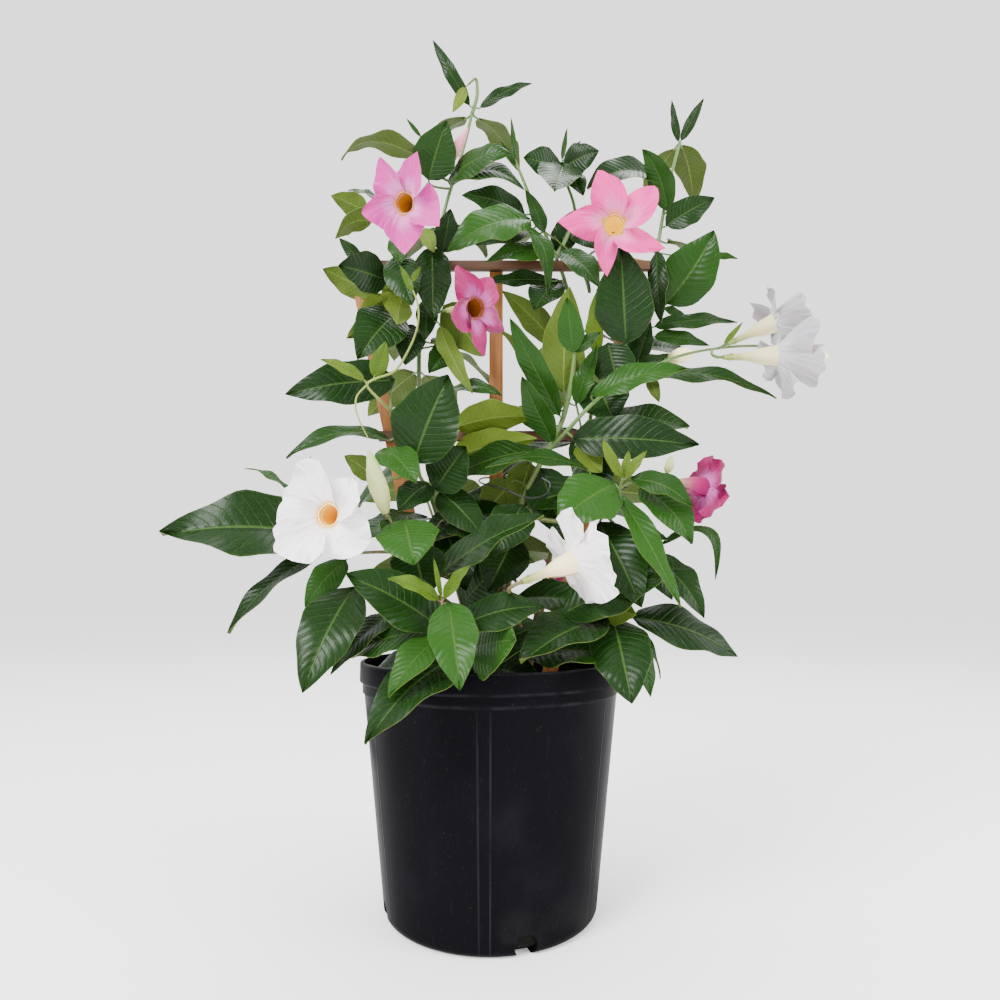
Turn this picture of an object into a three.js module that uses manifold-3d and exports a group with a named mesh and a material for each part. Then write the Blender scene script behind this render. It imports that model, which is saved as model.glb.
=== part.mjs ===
// A potted mandevilla: climbing stems with opposite leaves and trumpet blooms, on a wooden fan
// trellis, in a black nursery pot of soil. Millimetres, +Z up, +Y away from the viewer. The origin
// is the middle of the pot's foot, on the surface that it stands on.
import * as THREE from "three";
import { mergeVertices } from "three/addons/utils/BufferGeometryUtils.js";
import Module from "manifold-3d";

const wasm = await Module();
wasm.setup();

// Driving dimensions
const GAP = 0.35; // between touching pieces
const SMALLEST = 0.03; // shorter edges left by joining are closed up
const pot = { height: 229, rimRadius: 127, footRadius: 99, wall: 2.3, floor: 2.6, sides: 28 };
const rimBand = { depth: 18, groove: 1.6, lowerDepth: 28, lowerRadius: 124, bodyRadius: 122.3, edge: 1.4 };
const footEdge = { radius: 9, steps: 3 };
const soil = { top: 204, dip: 3, shoulder: [0.78, -1], slope: [0.4, 4], middle: [0.12, 5] };
const drain = { angles: [-72, 18, 108, 198], radius: 10, axisHeight: 8, from: 84, to: 112, sides: 8 };
const stake = { width: 14, depth: 8, front: 10, foot: 54, top: 641, spread: 150, footSpread: 15 };
const bar = { height: 10, depth: 7, levels: [631, 450], overhang: 5 };
const trellisX = 5; // middle of the trellis, a little right of the pot's axis
const tie = { radius: 0.9, sides: 4 };
const stem = {
  sides: 5,
  buried: 60,
  straight: 4,
  tipShare: 0.55,
  sideShare: 0.75,
  sideSides: 4,
  lowestLeaf: 12,
};
const pedicel = { radius: 1.5, sides: 4, straightShare: 0.3 };
const clearance = { others: 0.3, own: 0.1 };
const petiole = { halfWidth: 1.4, depth: 2, rootShare: 0.4 };
const blade = {
  stations: [0.2, 0.5, 0.8],
  halfWidths: [0.43, 0.54, 0.29],
  fewStations: [0.3, 0.7],
  fewHalfWidths: [0.5, 0.4],
  fewBelow: 33,
  depth: 1.7,
};
const trumpet = { length: 50, outer: [[0, 2.2], [0.5, 4.4]], mouth: 9.6, inner: [0.6, 3.4], wall: 1.4 };
const corolla = {
  petals: 5,
  edges: [0.05, 0.34, 0.68, 0.95], // where a petal's four places lie round its fifth of the bloom
  reaches: [0.64, 1, 0.92, 0.48], // how far out each of them is
  steps: [0.07, 0.02, -0.03, -0.07], // each petal's one side lies over the next one's other side
  rings: [0.5],
  halfDepth: 0.65,
  lift: 0.14,
  swirl: 0.3,
};
const bud = { stations: [0, 0.2, 0.5, 0.8], shares: [0.3, 0.85, 1, 0.55], sides: 6 };

// Where the viewer stands, and the picture that places are read from: a place is how far across and
// down it is seen in a picture of 1000 by 1000, and how near it is, in front of the pot's axis.
const eye = new THREE.Vector3(9, -702, 294);
const lookUp = THREE.MathUtils.degToRad(7.6);
const picture = { middle: 500, focal: 694 };

function seen([across, down, near]) {
  const right = (across - picture.middle) / picture.focal;
  const up = (picture.middle - down) / picture.focal;
  const ahead = Math.cos(lookUp) - up * Math.sin(lookUp);
  const rise = Math.sin(lookUp) + up * Math.cos(lookUp);
  const travel = (-eye.y - near) / ahead;
  return new THREE.Vector3(eye.x + right * travel, -near, eye.z + rise * travel);
}

// A direction given as [right, up, towards the viewer], seen from the eye at a point
function seenDirection(point, [right, up, toward]) {
  const t = eye.clone().sub(point).normalize();
  const r = new THREE.Vector3(0, 0, 1).cross(t).normalize();
  const u = t.clone().cross(r);
  return r.multiplyScalar(right).add(u.multiplyScalar(up)).add(t.multiplyScalar(toward)).normalize();
}

// Stems, each with its ways as places, and its leaves as
// [blade's base, tip, width, direction that the upper face looks, arch, place the midrib leans to]
const shoots = {
  vine_left: {
    foot: [-14, -3],
    radius: 3,
    ways: [
      [[472, 640, 12], [455, 580, 15], [438, 520, 10], [428, 460, 2], [420, 400, 0], [420, 340, 2],
       [430, 300, 2], [437, 262, 5], [441, 225, 10], [452, 185, 12], [463, 150, 15], [472, 114, 15]],
      [[472, 114, 15], [477, 96, 15], [476, 79, 18], [469, 84, 22]],
      [[432, 288, 3], [412, 284, 8], [392, 286, 24], [378, 284, 26]],
      [[441, 225, 10], [420, 215, 18], [385, 212, 25]],
      [[420, 340, 2], [400, 325, 8], [385, 300, 15]],
    ],
    leaves: [
      [[470, 106, 15], [433, 40, 25], 13, [-0.3, 0.3, 0.9], 0.08],
      [[466, 87, 22], [451, 115, 30], 10, [0, 0, -1], 0.05],
      [[480, 108, 15], [532, 84, 10], 12, [0, 0.5, 0.8], 0.12],
      [[428, 162, 25], [342, 161, 60], 32, [0, 0.8, -0.55], 0.02, [374, 143, 46]],
      [[429, 177, 25], [449, 121, 45], 40, [-0.2, 0.3, 0.9], 0.08],
      [[449, 180, 22], [511, 154, 60], 32, [0, 0.7, 0.7], 0.16],
      [[452, 186, 18], [524, 190, 42], 28, [0, 0.85, 0.5], 0.24],
      [[368, 213, 40], [331, 196, 50], 22, [0, 0.3, -0.9], 0.1],
      [[380, 200, 20], [348, 191, 30], 12, [0, 0.9, 0.4], 0.1],
      [[372, 222, 40], [336, 239, 70], 24, [-0.2, 0.5, -0.8], 0.25],
      [[362, 263, 30], [339, 238, 35], 12, [0, 0.2, 0.9], 0.05],
      [[385, 280, 30], [338, 266, 62], 36, [0, 0.3, 0.95], 0.1],
      [[372, 294, 18], [324, 268, 30], 26, [0, 0.2, -0.95], 0.1],
      [[390, 283, 20], [392, 316, 40], 18, [0, 0, -1], 0.1],
      [[386, 296, 16], [360, 316, 40], 20, [0, 0, -1], 0.1],
      [[402, 298, 25], [396, 330, 50], 24, [-0.2, 0, -1], 0.1],
      [[396, 256, 34], [412, 306, 62], 32, [0, 0.2, 0.95], 0.1],
      [[432, 249, 27], [433, 321, 50], 34, [0, 0.15, 1], 0.06],
      [[428, 300, 10], [425, 341, 30], 20, [0, 0.1, 1], 0.1],
      [[396, 314, 12], [358, 360, 50], 46, [0, 0.4, 0.9], 0.15],
      [[376, 318, 20], [347, 338, 34], 16, [0, 0, -1], 0.1],
      [[412, 326, 8], [405, 366, 30], 28, [0.1, 0.2, 0.95], 0.1],
      [[440, 326, 30], [473, 394, 62], 18, [-0.3, 0.1, -0.9], 0.12],
      [[452, 346, 10], [429, 374, 26], 24, [0, 0.3, 0.9], 0.1],
      [[447, 251, 12], [475, 245, 24], 14, [0, 0.6, 0.6], 0.1],
      [[421, 137, 30], [406, 118, 32], 4, [0, 0, 1], 0.05],
      [[446, 392, 14], [502, 396, 34], 22, [0, 0.8, 0.5], 0.15],
      [[443, 305, 15], [482, 356, 45], 36, [0.2, 0, -0.95], 0.1],
      [[398, 238, 30], [400, 265, 50], 20, [0, 0.2, 1], 0.1],
      [[424, 228, 30], [434, 252, 50], 14, [0, 0, -1], 0.1],
      [[442, 252, 12], [450, 209, 28], 24, [0.2, 0, 0.95], 0.08],
      [[462, 604, 26], [506, 562, 48], 38, [0, 0.4, 0.9], 0.1],
      [[446, 530, 22], [466, 596, 44], 40, [0, 0.3, 0.95], 0.08],
    ],
  },
  vine_centre: {
    foot: [18, 2],
    radius: 3,
    ways: [
      [[508, 600, 12], [519, 511, 28], [547, 452, 36], [562, 421, 42], [572, 380, 36], [575, 330, 8],
       [566, 285, 2], [556, 258, 4], [544, 231, 6], [533, 205, 8], [524, 182, 10], [516, 163, 12]],
      [[562, 421, 42], [570, 386, 56], [574, 354, 62]],
      [[556, 258, 4], [575, 215, 0], [565, 180, -8], [562, 162, -10]],
      [[572, 380, 36], [592, 362, 26], [598, 345, 22]],
    ],
    leaves: [
      [[516, 161, 12], [511, 117, 15], 5, [0, 0, 1], 0.05],
      [[516, 166, 12], [501, 141, 15], 5, [0, 0, 1], 0.05],
      [[544, 232, 15], [525, 190, 32], 14, [0.3, 0, 0.9], 0.1],
      [[524, 214, 12], [462, 196, 30], 30, [0, 0.6, 0.8], 0.12],
      [[530, 220, 20], [447, 253, 70], 38, [0, 0.5, 0.85], 0.18],
      [[512, 226, 14], [557, 280, 56], 19, [0.4, 0.7, 0.5], 0.28],
      [[552, 253, 25], [486, 263, 46], 26, [0, 0.7, 0.7], 0.12],
      [[550, 281, 15], [483, 284, 26], 18, [0, 0.6, 0.75], 0.06],
      [[556, 282, 6], [534, 312, 34], 32, [-0.2, 0.3, 0.9], 0.1],
      [[563, 252, 23], [598, 288, 46], 28, [0.3, 0.5, 0.8], 0.12],
      [[563, 168, -8], [599, 151, 14], 32, [0, 0.5, 0.85], 0.08],
      [[561, 170, -8], [523, 158, 14], 30, [0, 0.5, 0.85], 0.08],
      [[563, 166, -6], [551, 210, 30], 42, [0, 0.2, 0.97], 0.08],
      [[566, 172, -12], [583, 197, 12], 22, [0.2, 0.3, 0.9], 0.1],
      [[562, 160, -10], [567, 128, -6], 5, [0, 0, 1], 0.05],
      [[564, 158, -10], [576, 136, -6], 5, [0, 0, 1], 0.05],
      [[573, 352, 62], [567, 298, 78], 22, [0, 0.1, 1], 0.06],
      [[575, 352, 62], [599, 330, 72], 12, [0, 0.5, 0.8], 0.08],
      [[564, 392, 28], [570, 287, 50], 40, [-0.2, 0.2, -0.95], 0.1],
      [[597, 354, 24], [597, 292, 44], 16, [-0.3, 0.1, 0.9], 0.1],
      [[560, 416, 50], [510, 318, 92], 22, [-0.3, 0.4, 0.8], 0.08],
      [[556, 345, 8], [502, 291, 24], 26, [0.3, 0.2, -0.9], 0.1],
      [[557, 410, 34], [495, 329, 54], 22, [0.5, 0.5, -0.5], 0.1],
      [[553, 441, 58], [522, 376, 92], 22, [-0.3, 0.1, 0.9], 0.08],
      [[577, 404, 40], [598, 346, 48], 18, [-0.4, 0, 0.9], 0.08],
      [[598, 386, 36], [614, 422, 46], 44, [0.1, 0.2, 0.95], 0.06],
      [[552, 424, 27], [513, 409, 32], 24, [0, 0.3, 0.9], 0.06],
      [[530, 230, -8], [476, 246, 4], 26, [0, 0.6, 0.7], 0.1],
      [[556, 252, -12], [580, 209, -6], 26, [0, 0.2, 0.95], 0.1],
      [[572, 216, -4], [602, 250, 8], 30, [0, 0.2, 0.95], 0.1],
      [[530, 462, 20], [514, 518, 26], 32, [0, 0.1, -1], 0.06],
      [[512, 482, 19], [478, 521, 26], 32, [0, 0.1, -1], 0.06],
      [[514, 540, 32], [488, 592, 60], 42, [0, 0.3, 0.95], 0.1],
      [[510, 590, 28], [484, 642, 54], 40, [0, 0.3, 0.95], 0.1],
      [[522, 506, 42], [494, 556, 72], 38, [0, 0.3, 0.95], 0.1],
      [[540, 470, 24], [566, 540, 36], 42, [0.1, 0.2, 0.95], 0.06],
    ],
  },
  vine_right: {
    foot: [34, 4],
    radius: 3,
    ways: [
      [[540, 600, -2], [566, 500, -4], [592, 430, -2], [612, 388, -2], [628, 352, -1], [646, 320, 0],
       [655, 280, 3], [659, 240, 6], [665, 205, 6], [671, 176, 2], [680, 142, 0]],
      [[590, 430, -2], [592, 410, 18], [606, 384, 25], [624, 354, 30]],
      [[655, 280, 3], [662, 296, 10], [668, 302, 12]],
    ],
    leaves: [
      [[679, 142, 0], [672, 100, 5], 8, [-0.3, 0, 0.9], 0.06],
      [[681, 141, 0], [704, 98, 5], 10, [0, 0.2, 1], 0.06],
      [[667, 211, 12], [642, 149, 40], 24, [-0.2, 0.1, 0.95], 0.08, [660, 176, 26]],
      [[654, 177, 2], [588, 190, 34], 34, [0, 0.65, 0.75], 0.2],
      [[666, 226, 10], [714, 199, 20], 28, [0, 0.4, 0.9], 0.08],
      [[666, 304, 14], [714, 231, 40], 48, [-0.1, 0.1, 0.98], 0.04, [694, 268, 28]],
      [[706, 256, 10], [738, 259, 16], 8, [0, 0.5, 0.8], 0.12],
      [[657, 250, 14], [657, 318, 36], 20, [-0.3, 0, 0.9], 0.06],
      [[664, 309, 10], [685, 316, 4], 9, [0, 0.5, 0.8], 0.05],
      [[626, 343, 38], [621, 247, 62], 50, [0, 0, 1], 0.08],
      [[654, 327, 8], [737, 323, -2], 17, [0, 0.5, 0.8], 0.1],
      [[654, 337, 8], [709, 346, -4], 16, [0, 0.5, 0.8], 0.1],
      [[608, 344, 34], [620, 394, 50], 38, [0, 0.2, 1], 0.08],
      [[638, 362, 22], [651, 322, 32], 17, [-0.2, 0, 0.95], 0.08],
      [[642, 330, 20], [624, 368, 27], 22, [0, 0.1, 1], 0.06],
      [[636, 366, 12], [685, 362, 6], 16, [0, 0.7, 0.6], 0.1],
      [[584, 434, 26], [602, 514, 44], 38, [0.1, 0.2, 0.95], 0.06],
    ],
  },
  branch_right_mid: {
    from: "vine_centre",
    radius: 2.2,
    ways: [
      [[547, 452, 36], [566, 432, 46], [587, 409, 52], [612, 388, 54], [634, 379, 52], [656, 366, 44],
       [676, 357, 38], [700, 351, 36], [719, 348, 36]],
      [[566, 432, 46], [574, 438, 48], [580, 441, 48]],
    ],
    leaves: [
      [[592, 396, 60], [687, 370, 84], 24, [0, 0.6, 0.8], 0.12],
      [[638, 379, 50], [776, 399, 64], 19, [0, 0.75, 0.65], 0.02, [708, 377, 60]],
      [[648, 376, 46], [659, 402, 54], 11, [0.3, 0, -1], 0.08],
      [[574, 439, 50], [698, 446, 76], 40, [0, 0.35, 0.92], 0.08],
      [[576, 446, 46], [604, 473, 54], 26, [0, 0.3, -0.9], 0.1],
      [[724, 344, 34], [743, 322, 38], 5, [0, 0, 1], 0.05],
    ],
  },
  branch_right_low: {
    from: "vine_centre",
    radius: 2.4,
    ways: [
      [[519, 511, 28], [545, 520, 40], [575, 520, 56], [600, 508, 74], [620, 488, 86], [636, 480, 88],
       [648, 478, 86], [658, 476, 83]],
      [[600, 508, 74], [618, 528, 66], [636, 545, 60], [652, 548, 60]],
      [[575, 520, 56], [583, 498, 60], [590, 474, 62]],
      [[620, 488, 86], [622, 480, 92]],
    ],
    leaves: [
      [[622, 478, 92], [603, 439, 97], 9, [-0.3, 0.3, 0.9], 0.15],
      [[623, 477, 92], [635, 444, 97], 7, [0.2, 0, 1], 0.06],
      [[626, 478, 92], [647, 451, 97], 8, [-0.2, 0.3, 0.9], 0.1],
      [[632, 480, 92], [691, 508, 112], 26, [0.3, 0.6, 0.7], 0.18],
      [[642, 488, 84], [690, 544, 104], 34, [0.4, 0.3, 0.8], 0.18],
      [[618, 495, 88], [680, 608, 146], 20, [0.4, 0.3, 0.85], 0.05],
      [[660, 546, 60], [715, 581, 72], 12, [0.2, 0.8, 0.5], 0.1, [706, 536, 68]],
      [[646, 556, 64], [703, 618, 92], 30, [0.4, 0.5, 0.7], 0.15],
      [[600, 524, 78], [641, 608, 122], 40, [0.1, 0.2, 0.97], 0.1],
      [[614, 484, 84], [558, 524, 104], 50, [-0.2, 0.35, 0.92], 0.1],
      [[588, 470, 64], [486, 468, 84], 18, [0, 0.8, 0.6], 0.14],
      [[626, 534, 68], [672, 600, 104], 32, [0.4, 0.3, 0.9], 0.12],
      [[636, 534, 62], [667, 541, 74], 16, [0.2, 0.7, 0.7], 0.08],
    ],
  },
  branch_left: {
    from: "vine_left",
    radius: 2.2,
    ways: [
      [[438, 520, 10], [430, 496, 38], [416, 470, 58], [400, 448, 58], [392, 420, 48], [390, 392, 38]],
      [[416, 470, 58], [398, 478, 58], [384, 478, 54]],
    ],
    leaves: [
      [[414, 462, 62], [449, 377, 80], 58, [-0.2, 0.3, 0.95], 0.08],
      [[436, 488, 50], [467, 446, 78], 38, [0.1, 0.4, 0.9], 0.08],
      [[428, 484, 58], [398, 512, 90], 28, [-0.1, 0.5, 0.85], 0.1],
      [[440, 492, 44], [484, 538, 62], 32, [0.1, 0.4, 0.9], 0.1],
      [[384, 450, 66], [416, 484, 98], 32, [0.1, 0.6, 0.8], 0.12],
      [[376, 478, 50], [344, 456, 50], 20, [0, 0.3, -0.9], 0.1],
      [[388, 440, 54], [287, 459, 92], 22, [0, 0.8, 0.5], 0.18],
      [[394, 381, 37], [286, 395, 64], 40, [0, 0.4, 0.9], 0.1],
    ],
  },
  young_vine: {
    from: "branch_left",
    radius: 1.4,
    ways: [
      [[391, 411, 45], [380, 400, 62], [367, 385, 72], [380, 377, 72], [396, 370, 70], [411, 345, 68],
       [418, 324, 68], [418, 306, 68], [414, 293, 68], [410, 282, 68]],
      [[367, 385, 72], [357, 396, 76], [356, 410, 78], [361, 424, 80], [368, 438, 82]],
    ],
    leaves: [
      [[364, 380, 73], [321, 360, 78], 10, [0, 0.4, 0.9], 0.15],
      [[374, 377, 72], [386, 341, 78], 15, [0.2, 0, 1], 0.08],
      [[413, 292, 68], [400, 265, 70], 6, [0, 0, 1], 0.05],
      [[411, 282, 68], [421, 266, 70], 5, [0, 0, 1], 0.05],
    ],
  },
  branch_left_low: {
    from: "vine_left",
    radius: 2.4,
    ways: [
      [[455, 580, 15], [436, 572, 50], [412, 552, 80], [394, 528, 96], [388, 516, 102]],
      [[412, 552, 80], [378, 552, 88], [348, 552, 86], [326, 542, 76]],
    ],
    leaves: [
      [[322, 536, 72], [163, 536, 104], 62, [0, 0.6, 0.8], 0.1],
      [[318, 556, 74], [230, 634, 98], 24, [-0.4, 0.6, 0.6], 0.12],
      [[346, 560, 82], [305, 607, 98], 24, [-0.3, 0.2, 0.9], 0.14],
      [[300, 502, 44], [244, 469, 46], 9, [0, 0.9, 0.4], 0.15],
      [[300, 482, 44], [311, 456, 46], 5, [0, 0, 1], 0.05],
      [[404, 522, 102], [414, 566, 138], 46, [0, 0.5, 0.85], 0.1],
      [[386, 520, 96], [392, 557, 112], 22, [0.6, 0.3, 0.7], 0.1],
      [[414, 548, 86], [426, 600, 108], 42, [0, 0.3, 0.95], 0.1],
      [[438, 576, 60], [545, 518, 132], 38, [0, 0.6, 0.8], 0.1],
      [[446, 520, 40], [487, 540, 60], 26, [0, 0.5, 0.85], 0.1],
    ],
  },
  branch_mid: {
    from: "vine_left",
    radius: 2.2,
    ways: [[[433, 492, 6], [444, 476, 12], [448, 464, 14], [448, 452, 16]]],
    leaves: [
      [[455, 427, 30], [540, 412, 56], 32, [0, 0.35, -0.9], 0.14],
      [[452, 457, 16], [536, 439, 44], 32, [0, 0.3, -0.95], 0.1],
    ],
  },
  branch_front: {
    foot: [-34, -40],
    radius: 2.4,
    ways: [
      [[460, 662, 70], [450, 648, 104], [445, 633, 124], [443, 618, 132], [442, 602, 135]],
      [[450, 648, 104], [425, 628, 100], [400, 612, 96], [375, 596, 98], [358, 588, 98]],
    ],
    leaves: [
      [[438, 600, 135], [388, 580, 152], 16, [0, 0.7, 0.7], 0.12],
      [[444, 598, 135], [470, 566, 150], 11, [-0.3, 0.4, 0.8], 0.1],
      [[442, 598, 135], [439, 556, 138], 4, [0, 0, 1], 0.03],
      [[443, 636, 130], [390, 698, 172], 28, [-0.3, 0.5, 0.8], 0.12],
      [[449, 604, 134], [460, 691, 178], 34, [0, 0.3, 0.95], 0.1],
      [[474, 648, 104], [522, 643, 138], 52, [0.1, 0.25, 0.95], 0.08],
      [[468, 654, 100], [366, 745, 182], 42, [-0.2, 0.6, 0.8], 0.14],
      [[440, 628, 120], [347, 577, 132], 42, [0, 0.5, 0.85], 0.1],
      [[354, 588, 98], [303, 693, 152], 44, [-0.2, 0.3, 0.9], 0.12],
      [[394, 614, 94], [331, 675, 122], 28, [-0.1, 0.9, 0.4], 0.1],
    ],
  },
  branch_back_left: {
    foot: [-34, 36],
    radius: 2.2,
    ways: [[[466, 610, -48], [446, 552, -72], [424, 490, -86], [414, 430, -84], [420, 372, -70]]],
    leaves: [],
  },
  branch_back_right: {
    foot: [40, 38],
    radius: 2.2,
    ways: [[[542, 612, -50], [562, 556, -76], [578, 496, -90], [582, 436, -88], [570, 380, -72]]],
    leaves: [],
  },
  branch_front_right: {
    foot: [30, -36],
    radius: 2.4,
    ways: [
      [[520, 660, 60], [530, 640, 80], [552, 622, 88], [580, 612, 88], [604, 612, 86], [618, 618, 84]],
      [[530, 640, 80], [516, 618, 96], [509, 600, 104], [511, 594, 108]],
    ],
    leaves: [
      [[596, 606, 90], [635, 614, 112], 26, [0.2, 0, -0.95], 0.1],
      [[614, 620, 88], [632, 704, 142], 44, [0, 0.2, 0.97], 0.12],
      [[622, 622, 84], [650, 697, 112], 24, [0.5, 0.2, 0.8], 0.12],
      [[626, 624, 80], [660, 679, 92], 10, [0.6, 0.6, 0.3], 0.15],
      [[602, 620, 86], [521, 664, 134], 48, [0, 0.8, 0.6], 0.08],
    ],
  },
};

// Blooms: [shoot, middle of the mouth, way it faces, diameter, colour, turn about its own axis, cup], where
// the cup is how far the petals reach forwards
const blooms = {
  bloom_pink_left: ["vine_left", [404, 203, 96], [-0.5, 0.1, 0.86], 86, "pink", 50, 0.22],
  bloom_pink_right: ["vine_right", [614, 225, 86], [0.02, 0.15, 0.98], 98, "pink", 39, 0.1],
  bloom_rose_middle: ["vine_left", [476, 308, 92], [0.55, 0.05, 0.83], 80, "rose", 52, 0.25],
  bloom_rose_right: ["branch_right_low", [704, 488, 60], [0.72, -0.2, -0.66], 66, "rose", 0, 0.3],
  bloom_white_left: ["branch_left_low", [328, 515, 116], [-0.55, 0.1, 0.83], 90, "white", 30, 0.4],
  bloom_white_low: ["branch_front_right", [574, 562, 128], [0.8, 0.3, -0.48], 86, "white", 10, 0.25],
  bloom_white_upper: ["branch_right_mid", [776, 322, 22], [0.93, 0.3, -0.2], 72, "white", 0, 0.15],
  bloom_white_lower: ["branch_right_mid", [778, 356, 66], [0.95, -0.1, -0.28], 80, "white", 40, 0.2],
  bloom_pink_back: ["vine_right", [630, 300, -84], [-0.2, 0.2, -0.95], 84, "pink", 0, 0.2],
  bloom_rose_back: ["branch_back_right", [574, 566, -124], [0.1, 0.1, -0.98], 84, "rose", 0, 0.2],
};

// Furled buds: [shoot, base, tip, width, colour]
const buds = {
  bud_pink_top: ["vine_left", [443, 171, 30], [468, 128, 44], 12, "pink"],
  bud_green_left: ["branch_left_low", [386, 514, 112], [368, 450, 122], 16, "greenBud"],
  bud_white_mid: ["branch_right_mid", [668, 359, 24], [696, 352, 26], 16, "white"],
  bud_white_right: ["branch_right_mid", [798, 351, 6], [829, 357, 8], 13, "white"],
  bud_green_right: ["branch_right_low", [667, 473, 90], [672, 456, 96], 8, "greenBud"],
};

// Wire that ties the stems to the middle stake
const tieWay = [
  [505, 480, 3], [495, 478, 3.5], [483, 478, 5], [479, 481, 18], [484, 484, 34], [497, 487, 42], [511, 492, 46],
  [520, 496, 48], [534, 498, 48], [546, 494, 46], [550, 484, 42], [542, 478, 38],
];

// Leaves where the picture shows none or only their shade: pairs along each long stem, to the back in
// its upper part and to the sides in the dense lower part
const filler = {
  seed: 7,
  core: { below: 470, every: 54, length: [72, 98], angles: [55, 110] },
  crown: { every: 90, length: [64, 84], angles: [20, 75] },
  lowest: 222,
  width: 0.46,
  stalk: 12,
};

// Small bends that a leaf tries about its root until it is clear of all else: [turn, dip] in degrees
const bends = [
  [0, 0], [0, 6], [0, -6], [7, 0], [-7, 0], [0, 12], [0, -12], [14, 0], [-14, 0], [10, 10], [-10, 10],
  [10, -10], [-10, -10], [0, 20], [0, -20], [22, 0], [-22, 0], [20, 16], [-20, 16], [20, -16], [-20, -16],
  [0, 32], [0, -32], [34, 0], [-34, 0], [30, 28], [-30, 28], [30, -28], [-30, -28],
];

const vector = (x, y, z) => new THREE.Vector3(x, y, z);

// One closed surface through rings of places, ending flat or in a point
function loft(rings, point = null) {
  const size = rings[0].length;
  const places = rings.flat();
  const faces = [];
  for (let j = 1; j < size - 1; j++) faces.push(0, j + 1, j);
  for (let i = 0; i < rings.length - 1; i++) {
    for (let j = 0; j < size; j++) {
      const a = i * size + j;
      const b = i * size + ((j + 1) % size);
      const c = a + size;
      const d = b + size;
      faces.push(...(j % 2 ? [a, b, c, b, d, c] : [a, b, d, a, d, c]));
    }
  }
  const last = (rings.length - 1) * size;
  if (point) {
    places.push(point);
    for (let j = 0; j < size; j++) faces.push(last + j, last + ((j + 1) % size), places.length - 1);
  } else {
    for (let j = 1; j < size - 1; j++) faces.push(last, last + j, last + j + 1);
  }
  return solidOf(new THREE.BufferGeometry().setFromPoints(places).setIndex(faces));
}

// A closed three.js geometry as a solid
function solidOf(geometry) {
  const bare = new THREE.BufferGeometry().setAttribute("position", geometry.getAttribute("position"));
  bare.setIndex(geometry.getIndex());
  const merged = mergeVertices(bare, 1e-4);
  return new wasm.Manifold(
    new wasm.Mesh({
      numProp: 3,
      vertProperties: merged.attributes.position.array,
      triVerts: new Uint32Array(merged.index.array),
    }),
  );
}

function geometryOf(solid) {
  const mesh = solid.getMesh();
  const geometry = new THREE.BufferGeometry();
  geometry.setAttribute("position", new THREE.BufferAttribute(new Float32Array(mesh.vertProperties), 3));
  geometry.setIndex(new THREE.BufferAttribute(new Uint32Array(mesh.triVerts), 1));
  return geometry;
}

function polygon(centre, side, up, halfWidth, halfDepth, sides) {
  return Array.from({ length: sides }, (_, j) => {
    const angle = (2 * Math.PI * j) / sides;
    return centre
      .clone()
      .addScaledVector(side, halfWidth * Math.cos(angle))
      .addScaledVector(up, halfDepth * Math.sin(angle));
  });
}

// A round stem along a row of places, its radius given at each
function tube(path, radiusAt, sides) {
  const places = path.filter((_, i) => i % 2 === 0);
  let up = null;
  const rings = places.map((place, i) => {
    const before = places[Math.max(i - 1, 0)];
    const after = places[Math.min(i + 1, places.length - 1)];
    const ahead = after.clone().sub(before).normalize();
    if (!up) up = Math.abs(ahead.z) < 0.9 ? vector(0, 0, 1) : vector(0, 1, 0);
    up = up.clone().addScaledVector(ahead, -up.dot(ahead)).normalize();
    const side = up.clone().cross(ahead);
    return polygon(place, side, up, radiusAt(2 * i), radiusAt(2 * i), sides);
  });
  return loft(rings);
}

// A row of places with one more between each two, on a smooth curve through them
function smooth(places) {
  const at = (i) => {
    if (i < 0) return places[0].clone().multiplyScalar(2).sub(places[1]);
    const n = places.length;
    return i < n ? places[i] : places[n - 1].clone().multiplyScalar(2).sub(places[n - 2]);
  };
  const row = [places[0]];
  for (let i = 0; i < places.length - 1; i++) {
    const middle = at(i).clone().add(at(i + 1)).multiplyScalar(9 / 16);
    row.push(middle.sub(at(i - 1).clone().add(at(i + 2)).multiplyScalar(1 / 16)), places[i + 1]);
  }
  return row;
}

function pathsOf({ foot, ways }) {
  return ways.map((way, i) => {
    const places = way.map(seen);
    if (foot && i === 0) {
      places.unshift(
        vector(foot[0], foot[1], soil.top - stem.buried),
        vector(foot[0], foot[1], soil.top + stem.straight),
      );
    }
    return smooth(places);
  });
}

function nearestOn(paths, place) {
  let best = null;
  for (const path of paths) {
    for (let i = 0; i < path.length - 2; i += 2) {
      const line = new THREE.Line3(path[i], path[i + 2]);
      const found = line.closestPointToPoint(place, true, vector());
      if (found.z < soil.top + stem.lowestLeaf) continue;
      if (!best || found.distanceTo(place) < best.distanceTo(place)) best = found;
    }
  }
  return best;
}

// A leaf's own places, from its line in the table
function leafFrom(paths, [base, tip, width, facing, arch, through = null]) {
  const start = seen(base);
  const end = seen(tip);
  const root = nearestOn(paths, start);
  const normal = seenDirection(start, facing);
  const middle = through ? seen(through) : start.clone().add(end).multiplyScalar(0.5);
  middle.addScaledVector(normal, arch * start.distanceTo(end));
  return { root, start, middle, end, normal, width };
}

function bentBy(leaf, [turn, dip]) {
  const ahead = leaf.end.clone().sub(leaf.root).normalize();
  const side = leaf.normal.clone().cross(ahead).normalize();
  const spin = new THREE.Quaternion()
    .setFromAxisAngle(leaf.normal, THREE.MathUtils.degToRad(turn))
    .multiply(new THREE.Quaternion().setFromAxisAngle(side, THREE.MathUtils.degToRad(dip)));
  const move = (place) => place.clone().sub(leaf.root).applyQuaternion(spin).add(leaf.root);
  return {
    root: leaf.root,
    start: move(leaf.start),
    middle: move(leaf.middle),
    end: move(leaf.end),
    normal: leaf.normal.clone().applyQuaternion(spin),
    width: leaf.width,
  };
}

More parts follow.
